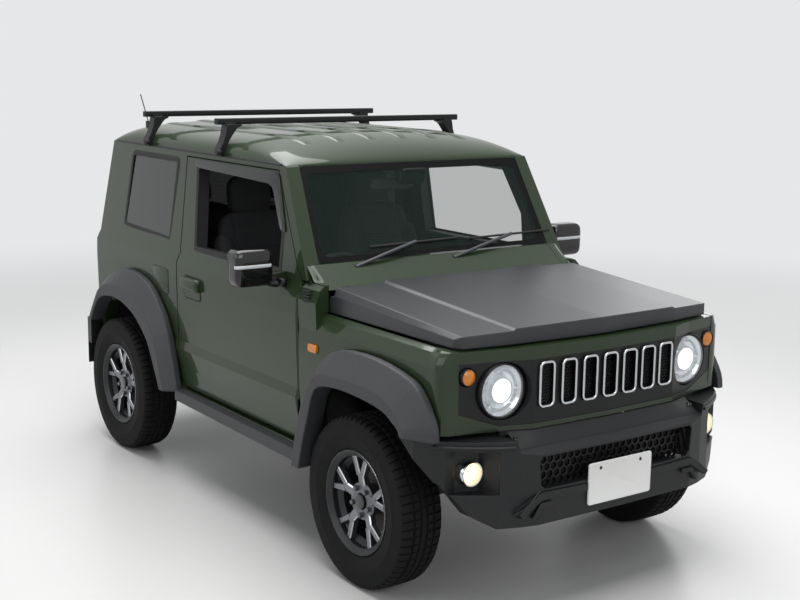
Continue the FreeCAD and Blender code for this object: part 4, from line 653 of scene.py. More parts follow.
def honeycomb(x0, x1, z0, z1, y, cell, bar, depth):
    """Hexagon cells set in rows; each is a six-sided tube whose wall is half a bar thick."""
    made = []
    step = cell * math.sqrt(3) / 2
    turn = np.radians(np.arange(6) * 60 + 30)
    big = cell / math.sqrt(3)
    for j, z in enumerate(np.arange(z0, z1, step)):
        for x in np.arange(x0 + (j % 2) * cell / 2, x1, cell):
            rows = [np.stack([x + r * np.cos(turn), np.full(6, level), z + r * np.sin(turn)], 1)
                    for level, r in ((y + depth, big), (y, big), (y, big - bar), (y + depth, big - bar))]
            made.append(grid(np.stack(rows), True, True))
    return made


mesh_parts = []
for x in slots:
    mesh_parts += honeycomb(x - 27, x + 28, 813, 962, -562, 14, 1.8, 5)
piece("grille_honeycomb", mesh_parts, satin_black, smooth=10)

# %% Lamps


def around(profile, x, z, count=64):
    """A turned part about a line along y; profile is (y, radius)."""
    return lathe(profile, (x, 0, z), "y", count)


def dome(y, radius, bulge, thick, steps=10):
    """Closed lens: a shallow outer cap and an inner one behind it."""
    r = np.linspace(0, radius, steps)
    outer = [(y - bulge * (1 - (a / radius) ** 2), a) for a in r]
    inner = [(y - bulge * (1 - (a / radius) ** 2) + thick, a) for a in r[::-1]]
    return outer + inner


def bowl(y, depth, radius, steps):
    """A reflector whose rim is at y and whose middle lies deeper."""
    return [(y + depth * (1 - (r / radius) ** 2), r) for r in np.linspace(radius, 0, steps)]


# Each lamp's middle: distance from the car's middle, height.
HEADLAMP, SIGNAL, FOG_LAMP = (486, 872), (629, 936), (621, 579)
bezels, bowls, trims, lit_parts, lenses = [], [], [], [], []
for side in (-1, 1):
    x, z = HEADLAMP[0] * side, HEADLAMP[1]
    bezels.append(around([(-500, 107.5), (-524, 107.5), (-528, 105), (-529, 101), (-524, 97), (-500, 96),
                          (-500, 107.5)], x, z, 96))
    bowls.append(around(bowl(-516, 34, 96, 12), x, z, 96))
    trims.append(around([(-514, 52), (-519, 50), (-520, 45), (-500, 42), (-492, 42), (-492, 52), (-514, 52)],
                        x, z))
    lit_parts.append(around(dome(-502, 42, 17, 6), x, z))
    for k in range(8):
        arc = np.linspace(k * math.pi / 4 + 0.06, (k + 1) * math.pi / 4 - 0.06, 9)
        path = np.stack([x + 74 * np.cos(arc), np.full(9, -512.0), z + 74 * np.sin(arc)], 1)
        trims.append(tube(path, 5, 8))
    lenses.append(around(dome(-526, 96.5, 20, 2.5, 14), x, z, 96))
piece("headlamp_bezels", bezels, satin_black)
# The reflectors carry a painted glow.
piece("headlamp_reflectors", bowls, reflector)
piece("headlamp_projector_trims", trims, chrome)
piece("headlamp_lights", lit_parts, lamp_white)
head_lens = piece("headlamp_lenses", lenses, clear_lens, smooth=60)
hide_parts("headlamps")

signal_parts, signal_rims, fog_lights, fog_lens, fog_rims, marker_parts = [], [], [], [], [], []
for side in (-1, 1):
    x, z = SIGNAL[0] * side, SIGNAL[1]
    signal_parts.append(around(dome(-504, 30, 8, 12), x, z, 48))
    signal_rims.append(around([(-478, 33), (-505, 33), (-508, 31), (-505, 29.5), (-478, 29.5), (-478, 33)],
                              x, z, 48))
    x, z = FOG_LAMP[0] * side, FOG_LAMP[1]
    fog_rims.append(around([(-492, 48), (-524, 48), (-529, 46), (-528, 42), (-512, 40), (-492, 40), (-492, 48)],
                           x, z, 56))
    fog_lights.append(around(bowl(-508, 12, 40, 6), x, z, 56))
    fog_lens.append(around(dome(-523, 41, 7, 2), x, z, 56))
    marker_parts.append(slab(rectangle(360, 868, 426, 902, 12), side * 727, side * 741, "x"))
piece("signal_rims", signal_rims, satin_black)
piece("direction_lamps", signal_parts, amber)
piece("fog_lamp_rims", fog_rims, chrome)
piece("fog_lamp_lights", fog_lights, lamp_warm)
piece("fog_lamp_lenses", fog_lens, clear_lens, smooth=60)
markers = piece("side_repeaters", marker_parts, amber, bevel=3.0)
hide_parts("small_lamps")

# %% [markdown]
# Bumper trim: a coarse mesh fills the lower intake before a dark panel, the plate has two painted
# screws and a thin raised edge, and two small parking sensors stand on the upper ledge.
# %% Bumper trim
intake = honeycomb(-366, 370, 520, 634, -606, 34, 4.0, 10)
piece("intake_mesh", intake, satin_black, smooth=10)
piece("intake_backing", [slab([(-384, 508), (384, 508), (372, 640), (-372, 640)], -580, -577, "y")], seal)
PLATE = rectangle(-165, 410, 165, 573, 12)
plate_rings = []
for inset, y in ((0, -655.0), (0, -660.8), (1.2, -662.0), (5.0, -662.0), (6.5, -660.6)):
    x = PLATE[:, 0] * ((165 - inset) / 165)
    z = 491.5 + (PLATE[:, 1] - 491.5) * (81.5 - inset) / 81.5
    plate_rings.append(np.stack([x, np.full(len(PLATE), y), z], 1))
blank_plate = piece("blank_number_plate", [capped(plate_rings)], plate_white, smooth=50)
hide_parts("number_plate")
screws = [lathe([(-659, 0), (-659, 7), (-661, 7), (-661.9, 5), (-662, 0)], (x, 0, 550), "y", 24)
          for x in (-105, 105)]
piece("plate_screws", screws, steel_black)
sensors = [lathe([(664, 13), (676, 13), (681, 9), (682, 0)], (x, -574, 22), "z", 24) for x in (-459, 459)]
piece("parking_sensors", sensors, gloss_black)

# %% [markdown]
# The windscreen is edged with a fired black band that hides the glue. Two wipers rest on it, their
# pivots on the scuttle; an arm is a pressed channel and its blade a thin rubber strip on a bridge.
# %% Screen band and wipers


def screen_y(x, z):
    return look(["windscreen"], (x, -1500, z), (0, 1, 0))[1]


SCREEN_Z = (1230, 1580)
screen_low, screen_high = (screen_y(0, z) for z in SCREEN_Z)
slope = (screen_high - screen_low) / (SCREEN_Z[1] - SCREEN_Z[0])
foot = screen_low - slope * SCREEN_Z[0]
screen_lean = math.atan(slope)
print("screen", round(screen_low, 1), round(screen_high, 1))


def on_screen(a, b, lift):
    """Points (x, z) on the leaning glass, lifted off it by lift."""
    b = np.asarray(b, float)
    return a, foot + slope * b - lift * math.cos(screen_lean), b + lift * math.sin(screen_lean)


def laid(place, a, b, lift):
    """One point laid on a surface, as three plain numbers."""
    return tuple(float(v) for v in np.ravel(np.array(place(a, b, lift))))


def ring_between(outer, inner, lift, place):
    """A flat band between two outlines with the same number of corners, a little thick."""
    rows = [np.stack(place(o[:, 0], o[:, 1], np.full(len(o), float(h))), 1)
            for o, h in ((outer, -0.3), (outer, lift), (inner, lift), (inner, -0.3))]
    return grid(np.stack(rows), True, True)


screen_outer = rounded([(-628, 1214), (628, 1214), (596, 1600), (-596, 1600)], 24)
screen_inner = rounded([(-606, 1232), (606, 1232), (576, 1570), (-576, 1570)], 46)
fired = ring_between(screen_outer, screen_inner, 0.5, on_screen)
fired_enamel = finish("fired_black_enamel", "#060708", 0.4, 0.05, 1.0, 0.03, 30, Specular_IOR_Level=0.12)
piece("screen_fired_band", [fired], fired_enamel)


WIPER_FOOT, WIPER_TIP, BLADE_HALF = 1182, 1262, 240


def wiper(pivot_x, tip_x):
    """Arm and blade in the plane of the glass, each swept along its own line."""
    arm = [laid(on_screen, pivot_x + (tip_x - pivot_x) * t, WIPER_FOOT + (WIPER_TIP - WIPER_FOOT) * t,
                14 + 8 * math.sin(math.pi * t) - 2 * t) for t in np.linspace(0, 1, 9)]
    blade = [laid(on_screen, tip_x + BLADE_HALF * t, WIPER_TIP + 4 * t, 6) for t in np.linspace(-1, 1, 13)]
    return tube(arm, 8, 10), tube(blade, 5, 8)


arms_made, blades_made, hubs = [], [], []
for pivot, tip in ((-464, -120), (60, 430)):
    arm, blade = wiper(pivot, tip)
    arms_made.append(arm)
    blades_made.append(blade)
    _, y, z = laid(on_screen, pivot, WIPER_FOOT, 2)
    hub = [(z - 14, 0), (z - 14, 12), (z + 12, 12), (z + 16, 9), (z + 17, 0)]
    hubs.append(lathe(hub, (pivot, y, 0), "z", 24))
wiper_paint = finish("satin_grey_wiper_paint", "#3A3B40", 0.4, 0.05, 1.0, 0.05, 40)
piece("wiper_arms", arms_made, wiper_paint)
piece("wiper_blades", blades_made, seal)
piece("wiper_pivots", hubs, satin_black)

# %% [markdown]
# Side glass sits in black extruded seals. A smoked visor is stuck over the door window; the fuel
# flap, the vent ahead of the door and the key barrel are small raised parts on the flat sides.
# %% Side details


def leaning(side, x0, z0, slope):
    """Places (y, z, lift) on a flank that stands x0 from the middle at z0 and leans in evenly."""
    def place(a, b, lift):
        return side * (x0 - (np.asarray(b, float) - z0) * slope + np.asarray(lift, float)), a, b
    return place


QUARTER = rounded([(1772, 1166), (2316, 1184), (2257, 1560), (1732, 1560)], 26)
QUARTER_LIP = [(-0.9, -1), (-0.9, 1.5), (-0.2, 3), (0.4, 3), (1, -1)]
for side, word in SIDES:
    piece("quarter_seal_" + word, [band(QUARTER, 14, QUARTER_LIP, leaning(side, 706.3, 1166, 0.0885))], seal)

# %% Side glass, visors, flap, vents
DOOR_GLASS = rounded([(700, 1158), (1492, 1158), (1526, 1545), (830, 1545), (700, 1330)], 20)
DOOR_LIP = [(-0.8, -8), (-0.8, 1), (0, 2.5), (0.8, 2.5), (1.2, -1)]
BELT_LINE = rectangle(690, 1150, 1500, 1166, 3)
VISOR = rounded([(1548, 1576), (1548, 1540), (840, 1522), (800, 1506), (706, 1330), (672, 1330), (764, 1562),
                 (800, 1574)], 14)
for side, word in SIDES:
    body = "door_" + word
    lower, upper = side_x(1600, 1130, fallback=-712.0), side_x(1600, 1570, fallback=-676.0)
    lean = leaning(side, -lower, 1130, (upper - lower) / 440.0)
    piece("door_window_seal_" + word, [band(DOOR_GLASS, 12, DOOR_LIP, lean)], seal, body)
    belt = band(BELT_LINE, 1, [(0, -2), (0, 3), (-6, 4), (-7, -2)], lean)
    piece("belt_moulding_" + word, [belt], satin_black, body)
    inner = VISOR * 0.96 + VISOR.mean(0) * 0.04
    rings = [np.stack(lean(o[:, 0], o[:, 1], np.full(len(o), lift)), 1)
             for o, lift in ((VISOR, 3.0), (VISOR, 6.0), (inner, 8.0))]
    piece("window_visor_" + word, [capped(rings)], smoke, body)


def plate_on_flank(outline, lift):
    """A thin raised plate whose face follows the right-hand flank under it."""
    x = np.array([side_x(y, z, ("side_frame_right",)) for y, z in outline])
    rings = []
    for shrink, height in ((1.0, -2.0), (1.0, lift - 0.6), (0.985, lift)):
        ring = outline.mean(0) + (outline - outline.mean(0)) * shrink
        rings.append(np.stack([x - height, ring[:, 0], ring[:, 1]], 1))
    return capped(rings)


flap = rectangle(1738, 900, 1910, 1024, 22)
piece("fuel_flap", [plate_on_flank(flap, 2.2)], paint)
# A black sheet a little larger than the flap, just under it: painted shade in the gap round the fuel flap.
flap_gap = rectangle(1733, 895, 1915, 1029, 24)
piece("fuel_flap_gap_shade", [plate_on_flank(flap_gap, 0.5)], seal)
vents = [slab(rectangle(418, z, 470, z + 6, 3), side * 722, side * 735.5, "x")
         for side in (-1, 1) for z in range(1068, 1128, 12)]
piece("scuttle_vents", vents, satin_black)

# %% [markdown]
# Roof. The pressing is one smooth form, a height for every (x, y), with shallow ribs that stiffen it
# and a gutter along each edge. Ribs and lining use the same height.
# %% Roof ribs and gutters


ROOF_EDGE, ROOF_RISE, ROOF_HALF, ROOF_FRONT, ROOF_BACK = 1604.0, 117.5, 664.5, 728.0, 2518.0


def roof_z(x, y):
    """Crown over the car's width, rounded at the rails, times a steep front and a slower rear rise."""
    wide = np.clip(np.abs(x) / ROOF_HALF, 0, 1)
    across = (1 - 0.33 * wide ** 2) * (1 - wide ** 14) ** 0.45
    ahead = np.clip((y - ROOF_FRONT) / 470, 0, 1)
    behind = np.clip((ROOF_BACK - y) / 260, 0, 1)
    along = (1 - (1 - ahead) ** 2.14) ** 0.665 * (1 - (1 - behind) ** 1.6) ** 0.5
    return ROOF_EDGE + ROOF_RISE * across * along


def eased(low, high, count):
    """Steps from low to high that crowd together at both ends."""
    return (low + high) / 2 - (high - low) / 2 * np.cos(np.linspace(0, math.pi, count))


def roof_sheet(drop, rim):
    """The roof's form lowered by drop, its outermost row at the rim's height."""
    x, y = np.meshgrid(eased(-ROOF_HALF, ROOF_HALF, 81), eased(ROOF_FRONT, ROOF_BACK, 91))
    z = roof_z(x, y) - drop
    z[[0, -1]] = z[:, [0, -1]] = rim
    return np.stack([x, y, np.maximum(z, rim)], -1)


roof_top, roof_under = roof_sheet(0, ROOF_EDGE), roof_sheet(16, ROOF_EDGE - 14)
upper, faces_up = grid(roof_top)
lower, faces_down = grid(roof_under)
order = np.arange(len(upper)).reshape(roof_top.shape[:2])
edge = np.concatenate([order[0], order[1:, -1], order[-1, -2::-1], order[-2:0:-1, 0]]).tolist()
count = len(upper)
skirt = [(a, a + count, b + count, b) for a, b in zip(edge, edge[1:] + edge[:1])]
roof_points = np.concatenate([upper, lower])
roof_faces = faces_up + [[i + count for i in f[::-1]] for f in faces_down] + skirt
roof_skin = piece("roof_skin", [(roof_points, roof_faces)], paint, smooth=60)
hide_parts("roof_panel")
piece("roof_lining", [grid(roof_sheet(19, ROOF_EDGE - 17)[::-1, 3:-3][3:-3])], lining, smooth=60)


def rib(x, y0, y1, width, height):
    """A low bump with rounded ends that follows the roof."""
    rows = []
    for y in np.linspace(y0, y1, 40):
        fade = min(1.0, (y - y0) / 60, (y1 - y) / 60)
        fade = math.sqrt(max(fade, 0.0)) if fade < 1 else 1.0
        rows.append([(x + width * k, y, float(roof_z(x + width * k, y)) - 1.0 + (height + 1.0) * fade * lift)
                     for k, lift in ((-0.5, 0), (-0.34, 0.85), (-0.2, 1), (0.2, 1), (0.34, 0.85), (0.5, 0))])
    return grid(np.array(rows, float))


ribs = [rib(x, 900, 2330, 60, 6.0) for x in (-440, -265, -90, 90, 265, 440)]
piece("roof_ribs", ribs, paint, smooth=60)
gutters = [tube([(side * (ROOF_HALF - 0.5), y, 1607) for y in np.linspace(760, 2470, 30)], 5, 8)
           for side in (-1, 1)]
piece("gutter_mouldings", gutters, satin_black)

# %% [markdown]
# Rear. The spare tyre hangs on the tailgate behind a plain moulded cover; the lamp clusters sit in
# the bumper; a handle, a wiper and heater lines complete the door.
# %% Spare wheel


SPARE_Y, SPARE_Z = 2780.5, 872
# The road tyre turned to face backwards, its middle moved to the tailgate's carrier.
points, faces = tyre_surface(1, (0, 0, 0))
turned_tyre = points[:, [1, 0, 2]] + (0, SPARE_Y, SPARE_Z), faces
spare_tyre = piece("spare_tyre_tread", [turned_tyre], rubber, "tailgate", smooth=28)
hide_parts("spare_wheel")
cover = [(2866, 214), (2874, 214), (2880, 208), (2881, 196), (2885, 186), (2886, 150), (2884.5, 140),
         (2886, 60), (2887, 0)]
wheel_back = [(2700, 193), (2705, 208), (2712, 208), (2716, 193), (2760, 172), (2860, 190), (2866, 214)]
carrier = [(2690, 95), (2712, 90), (2716, 172), (2760, 172)]
piece("spare_wheel_cover", [around(cover, 0, SPARE_Z, 96)], satin_black, "tailgate")
piece("spare_wheel_rim", [around(wheel_back, 0, SPARE_Z, 96), around(carrier, 0, SPARE_Z, 72)], alloy_dark,
      "tailgate")

# %% Tailgate fittings and rear lamps


def gate_y(x, z):
    spot = look(["tailgate", "tailgate_window"], (x, 4200, z), (0, -1, 0))
    return spot[1] if spot else 2600.0


gate_glass = rounded([(-507, 1166), (507, 1166), (472, 1537), (-472, 1537)], 28)
lower_y, upper_y = gate_y(0, 1180), gate_y(0, 1530)
gate_tilt = (upper_y - lower_y) / 350.0


def on_gate_glass(a, b, lift):
    return a, lower_y + gate_tilt * (np.asarray(b, float) - 1180) + np.asarray(lift, float), b


gate_seal = band(gate_glass, 12, [(-1, -1), (-1, 1), (-0.2, 3), (0.6, 3), (1, -1)], on_gate_glass)
piece("tailgate_window_seal", [gate_seal], seal, "tailgate")
heater = []
for z in np.arange(1210, 1500, 24):
    half = 470 - (z - 1168) * 0.095
    heater.append(tube([laid(on_gate_glass, x, z, 0.4) for x in np.linspace(-half, half, 9)], 0.7, 4))
piece("heater_lines", heater, alloy_dark, "tailgate")
handle_y = gate_y(455, 1000)
handle = [slab(rectangle(405, 975, 515, 1025, 16), handle_y - 4, handle_y + 5, "y"),
          slab(rectangle(415, 1003, 505, 1018, 6), handle_y + 4, handle_y + 22, "y")]
piece("tailgate_handle", handle, satin_black, "tailgate", bevel=1.5)
rear_arm = [laid(on_gate_glass, -60 + 330 * t, 1150 + 60 * t, 18 - 5 * t) for t in np.linspace(0, 1, 8)]
rear_blade = [laid(on_gate_glass, 90 + 350 * t, 1206 + 8 * t, 6) for t in np.linspace(0, 1, 9)]
y = laid(on_gate_glass, -60, 1176, 16)[1]
rear_hub = lathe([(y - 16, 0), (y - 16, 16), (y + 2, 16), (y + 6, 12), (y + 7, 0)], (-60, 0, 1150), "y", 24)
piece("rear_wiper", [tube(rear_arm, 5, 8), tube(rear_blade, 4, 8), rear_hub], satin_black, "tailgate")


def tail_face(t, lift):
    """A point on the angled rear lamp: t runs from its inner to its outer end."""
    return 612 + 118 * t + lift * 0.155, 2720.1 - 18.5 * t + lift


def lens_block(t0, t1, z0, z1):
    """A lens pillow on the lamp's face: 7 mm proud at its edges and 11 mm in its middle."""
    t, z = np.meshgrid(np.linspace(0, 1, 9), np.linspace(0, 1, 9), indexing="ij")
    swell = np.minimum(1, 6 * np.minimum(t, 1 - t)) * np.minimum(1, 6 * np.minimum(z, 1 - z))
    x, y = tail_face(t0 + (t1 - t0) * t, 7.0 + 4.0 * np.sqrt(swell))
    return grid(np.stack([x, y, z0 + (z1 - z0) * z], -1))


reds, ambers, clears = [], [], []
for part, t0, t1 in ((reds, 0.02, 0.46), (ambers, 0.49, 0.75), (clears, 0.78, 0.98)):
    part += both(lens_block(t0, t1, 532, 608))
piece("stop_lamps", reds, red)
piece("rear_direction_lamps", ambers, amber)
piece("reversing_lamps", clears, clear_lens)
HOUSING = (tail_face(0, 0), tail_face(1, 0), tail_face(1, 8.4), tail_face(0, 8.4))
housings = [slab(sided(HOUSING, side), 528, 612, "z") for side in (-1, 1)]
piece("tail_lamp_housings", housings, gloss_black)

# %% [markdown]
# Seats. Foam under woven cloth swells between its seams: each pad starts as a superellipsoid, a
# closed surface whose corners are fuller than an egg's, is filled as cloth in a scene of its own,
# and is then pulled in where the cover is sewn. Bolsters and headrests keep the plain form. The
# frames under the seats are pressed steel in plastic shields.
# %% Seat pads


def superellipsoid(power, v, u):
    """Unit form over angles up (v) and round (u); a power below one makes its corners fuller."""
    bend = lambda t: np.sign(t) * np.abs(t) ** power
    level = bend(np.cos(v))
    return level * bend(np.cos(u)), level * bend(np.sin(u)), bend(np.sin(v)) * np.ones_like(u)


def angles(steps):
    """Angles up and round a closed form."""
    return (np.linspace(-math.pi / 2, math.pi / 2, steps[0])[:, None],
            np.linspace(-math.pi, math.pi, steps[1], endpoint=False)[None])


def pad(centre, half, lean, power, seams=(), across=0.0, steps=(40, 56)):
    """Superellipsoid of half sizes, pulled in by a few millimetres along seam lines, leaned about
    the x axis and set at its centre."""
    x, y, z = superellipsoid(power, *angles(steps))
    pull = np.zeros_like(x * y)
    for level in seams:
        pull = pull + 5.0 * np.exp(-((x - level) * half[0] / 7.0) ** 2)
    if across:
        pull = pull + 4.0 * np.exp(-((y * half[1] % across - across / 2) / 7.0) ** 2)
    z = z * (half[2] - pull * (np.abs(z) > 0.5))
    return set_at(grid(np.stack([x * half[0], y * half[1], z], -1), False, True), centre, lean)


LONGEST_MOVE = 20.0
FILLING_PRESSURE, FILLING_FRAMES = 4.0, 20


def corners(mesh):
    return np.array([corner.co[:] for corner in mesh.vertices])


def stuffed(half, power, seams, across, voxel=0.012):
    """A pad about the origin: blown up as cloth for FILLING_FRAMES, its moves scaled so that none
    is longer than LONGEST_MOVE, divided once, and then pulled in along its sewn lines."""
    points, faces = pad((0, 0, 0), (half[0] - 4, half[1] - 4, half[2] - LONGEST_MOVE / 2), 0.0, power)
    lab = bpy.data.scenes.new("cushion_trial")
    shell = bpy.data.meshes.new("cushion_trial")
    shell.from_pydata((points / 1000).tolist(), [], faces)
    trial = bpy.data.objects.new("cushion_trial", shell)
    lab.collection.objects.link(trial)
    layer = lab.view_layers[0]
    remesh = trial.modifiers.new("Even", "REMESH")
    remesh.mode, remesh.voxel_size = "VOXEL", voxel
    layer.update()
    even = bpy.data.meshes.new_from_object(trial.evaluated_get(layer.depsgraph))
    trial.modifiers.clear()
    trial.data = even
    start = corners(even)
    filling = trial.modifiers.new("Filling", "CLOTH").settings
    filling.use_pressure = True
    filling.uniform_pressure_force = FILLING_PRESSURE
    filling.effector_weights.gravity = 0.0
    for frame_number in range(1, FILLING_FRAMES + 1):
        lab.frame_set(frame_number)
    shift = corners(trial.evaluated_get(layer.depsgraph).to_mesh()) - start
    far = np.linalg.norm(shift, axis=1).max() * 1000
    start = start + shift * min(1.0, LONGEST_MOVE / far)
    trial.modifiers.clear()
    even.vertices.foreach_set("co", start.ravel())
    even.update()
    divide = trial.modifiers.new("Divide", "SUBSURF")
    divide.levels = divide.render_levels = 1
    layer.update()
    fine = bpy.data.meshes.new_from_object(trial.evaluated_get(layer.depsgraph))
    found = corners(fine) * 1000
    made = [list(face.vertices) for face in fine.polygons]
    pull = np.zeros(len(found))
    for level in seams:
        pull = pull + 5.0 * np.exp(-((found[:, 0] - level * half[0]) / 8.0) ** 2)
    if across:
        pull = pull + 4.0 * np.exp(-((found[:, 1] % across - across / 2) / 8.0) ** 2)
    found[:, 2] -= np.sign(found[:, 2]) * pull * np.clip(np.abs(found[:, 2]) / half[2] - 0.3, 0, 0.4) / 0.4
    print("cushion", half, "cloth moved", round(float(far), 1), "mm, kept at most", LONGEST_MOVE, "mm, points",
          len(found))
    bpy.data.scenes.remove(lab)
    bpy.data.objects.remove(trial)
    for used in (shell, even, fine):
        bpy.data.meshes.remove(used)
    return found, made


def soft(name, parts):
    thing = piece(name, parts, cloth, smooth=70)
    return thing


SHIELD = rounded([(960, 690), (1440, 690), (1560, 800), (1500, 830), (1400, 745), (960, 735)], 20)
RISER = rounded([(1040, 545), (1430, 545), (1450, 700), (1000, 700)], 10)
front_head, shields, posts = [], [], []
cushion_form = stuffed((228, 228, 56), 0.42, (-0.62, 0.62), 120)
backrest_form = stuffed((214, 272, 52), 0.42, (-0.6, 0.6), 130)
bench_form = stuffed((536, 214, 54), 0.3, (-0.5, 0.0, 0.5), 120, voxel=0.014)
bench_back_form = stuffed((262, 208, 46), 0.35, (-0.55, 0.55), 120)
for side, word in SIDES:
    x = side * 355
    soft("front_cushion_" + word, [set_at(cushion_form, (x, 1178, 764), -0.07)])
    soft("front_backrest_" + word, [set_at(backrest_form, (x, 1510, 1055), math.radians(76))])
    bolsters = [pad((x + s * 190, 1490, 1010), (40, 200, 62), math.radians(76), 0.6) for s in (-1, 1)]
    bolsters += [pad((x + s * 194, 1175, 784), (38, 205, 52), -0.07, 0.6) for s in (-1, 1)]
    soft("front_bolsters_" + word, bolsters)
    front_head.append(pad((x, 1612, 1382), (112, 100, 46), math.radians(82), 0.55))
    for s in (-50, 50):
        posts.append(tube([(x + s, 1600, 1290), (x + s, 1606, 1350), (x + s, 1614, 1410)], 6, 12))
    for s in (-1, 1):
        shields.append(slab(SHIELD, x + s * 205, x + s * 224, "x"))
        shields.append(slab(rectangle(1010, 512, 1460, 545, 8), x + s * 150, x + s * 178, "x"))
        shields.append(slab(RISER, x + s * 158, x + s * 170, "x"))
soft("front_headrests", front_head)
shield = piece("seat_frames", shields, dash_plastic, bevel=1.5)
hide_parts("front_seats")
soft("bench_cushion", [set_at(bench_form, (0, 1950, 818), -0.06)])
soft("bench_backrests", [set_at(bench_back_form, (s * 270, 2292, 1050), math.radians(70)) for s in (-1, 1)])
bench_heads = [pad((s * 290, 2362, 1334), (106, 70, 40), math.radians(80), 0.5) for s in (-1, 1)]
soft("bench_headrests", bench_heads)
for x in (-335, -245, 245, 335):
    posts.append(tube([(x, 2340, 1230), (x, 2350, 1270), (x, 2356, 1300)], 6, 12))
bench_box = slab(rectangle(-498, 1805, 498, 2198, 12), 652, 770, "z")
bench_base = piece("bench_frame", [bench_box], dash_plastic, bevel=2)
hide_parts("rear_bench")
piece("headrest_posts", posts, steel_black)

# %% [markdown]
# Dashboard, controls and cabin trim. The driver sits on the car's right. The board keeps its solid
# form; dials, vents, a screen, the lever and the belts are set on and around it.
# %% Steering wheel and dashboard
TILT = math.radians(-75)


def on_column(part):
    """A part made about the column's own axis, leaned back and moved to the wheel's hub."""
    return set_at(part, (-365, 826, 1021), TILT)


turn = np.linspace(0, 2 * math.pi, 20, endpoint=False)
ring_section = [(15 * math.sin(a), 178 + 14.5 * math.cos(a)) for a in turn]
rim_part = on_column(closed_lathe(ring_section, (0, 0, 0), "z", 72))
spoke_parts = []
for angle in (90, 90 + 112, 90 - 112):
    a = math.radians(angle)
    line = np.linspace(48, 172, 8)
    width = np.interp(line, (48, 172), (30, 15))
    rows = []
    for k, lift in ((-1, 0), (-0.7, 6), (0.7, 6), (1, 0), (0.7, -7), (-0.7, -7)):
        rows.append(np.stack([line * math.cos(a) - k * width * math.sin(a),
                              line * math.sin(a) + k * width * math.cos(a), lift + 0.03 * (line - 110)], 1))
    spoke_parts.append(on_column(grid(np.stack(rows, 1), False, True)))
spoke_parts.append(on_column(pad((0, 0, -2), (66, 58, 20), 0, 0.5, steps=(24, 32))))
leather = finish("stitched_leather", "#19191A", 0.5, 0.35, 2.2, 0.06, 25)
wheel_rim = piece("steering_wheel_rim", [rim_part], leather, smooth=60)
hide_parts("steering_wheel")
piece("steering_wheel_spokes", spoke_parts, dash_plastic, smooth=50)
stalks = [tube([(-365 + s * 30, 760, 1022), (-365 + s * 90, 752, 1030), (-365 + s * 150, 748, 1040)], 6, 10)
          for s in (-1, 1)]
piece("column_stalks", stalks, dash_plastic)
DIALS = (-420, -310)
dials = [slab(rectangle(x - 44, 1064, x + 44, 1134, 10), 712, 716, "y") for x in DIALS]
piece("instrument_faces", dials, gloss_black)
DIAL_RIM, VENT_RIM = [(714, 30), (718, 31), (718, 34), (714, 35)], [(700, 34), (722, 36), (726, 42), (700, 44)]
dial_rims = [closed_lathe(DIAL_RIM, (x, 0, 1098), "y", 40) for x in DIALS]
piece("instrument_rings", dial_rims, alloy_dark)
piece("centre_screen", [slab(rectangle(-105, 985, 105, 1095, 10), 712, 728, "y")], gloss_black, bevel=1.0)
knobs = [around([(700, 0), (700, 17), (722, 16), (725, 13), (726, 0)], x, 930, 32) for x in (-70, 0, 70)]
piece("heater_knobs", knobs, satin_black)
vents_in = []
for x in (-548.8, -147, 147, 548.8):
    vents_in.append(closed_lathe(VENT_RIM, (x, 0, 1040), "y", 40))
    for z in (1023, 1039, 1055):
        vents_in.append(slab([(x - 33, z), (x + 33, z), (x + 33, z + 2.5), (x - 33, z + 2.5)], 704, 720, "y"))
piece("cabin_vents", vents_in, dash_plastic)
lever = [tube([(0, 930, 820), (0, 928, 900), (0, 922, 985)], 6, 12),
         pad((0, 920, 1000), (22, 22, 30), 0, 0.8, steps=(20, 24)),
         tube([(60, 985, 815), (60, 990, 860), (60, 992, 905)], 5, 12),
         pad((60, 992, 915), (16, 16, 20), 0, 0.8, steps=(16, 20)),
         lathe([(829, 60), (838, 54), (850, 30), (870, 12), (880, 8), (880, 0)], (0, 930, 0), "z", 40)]
piece("gear_levers", lever, dash_plastic, smooth=60)
grab = [(330, 700, 1090), (340, 722, 1092), (400, 730, 1092), (500, 730, 1092), (560, 722, 1092),
        (570, 700, 1090)]
piece("passenger_grab_bar", [tube(grab, 11, 14)], dash_plastic)

# %% Mirror, visors, belts, door cards
ceiling = screen_y(0, 1560)
inside = [pad((-50, ceiling + 112, 1496), (116, 12, 28), 0.10, 0.35, steps=(24, 40)),
          tube([(-30, ceiling + 104, 1504), (-15, ceiling + 70, 1528), (0, ceiling + 34, 1540)], 8, 12)]
mirror_shell = finish("moulded_mirror_shell", "#3C3F42", 0.4, 0.1, 1.5, 0.05, 60)
piece("cabin_mirror", inside, mirror_shell, smooth=60)
housing = pad((0, ceiling + 34, 1540), (72, 26, 40), 0.30, 0.28, steps=(20, 36))
piece("camera_housing", [housing], satin_black, smooth=60)
visor_pads = [pad((s * 300, ceiling + 122, 1600), (190, 72, 9), -0.25, 0.3, steps=(20, 40)) for s in (-1, 1)]
piece("sun_visors", visor_pads, lining, smooth=60)
belts = []
for s in (-1, 1):
    t = np.linspace(0, 1, 16)
    line = np.stack([s * (648 - 18 * t), 1668 - 20 * t, 700 + 760 * t], 1)
    rows = [line + np.array([0, d, 0]) for d in (-23, 23)]
    thick = [rows[0], rows[1], rows[1] + np.array([-1.4 * s, 0, 0]), rows[0] + np.array([-1.4 * s, 0, 0])]
    belts.append(grid(np.stack(thick, 1), False, True))
piece("seat_belts", belts, finish("belt_webbing", "#17181A", 0.75, 0.6, 1.2, 0.05, 10))
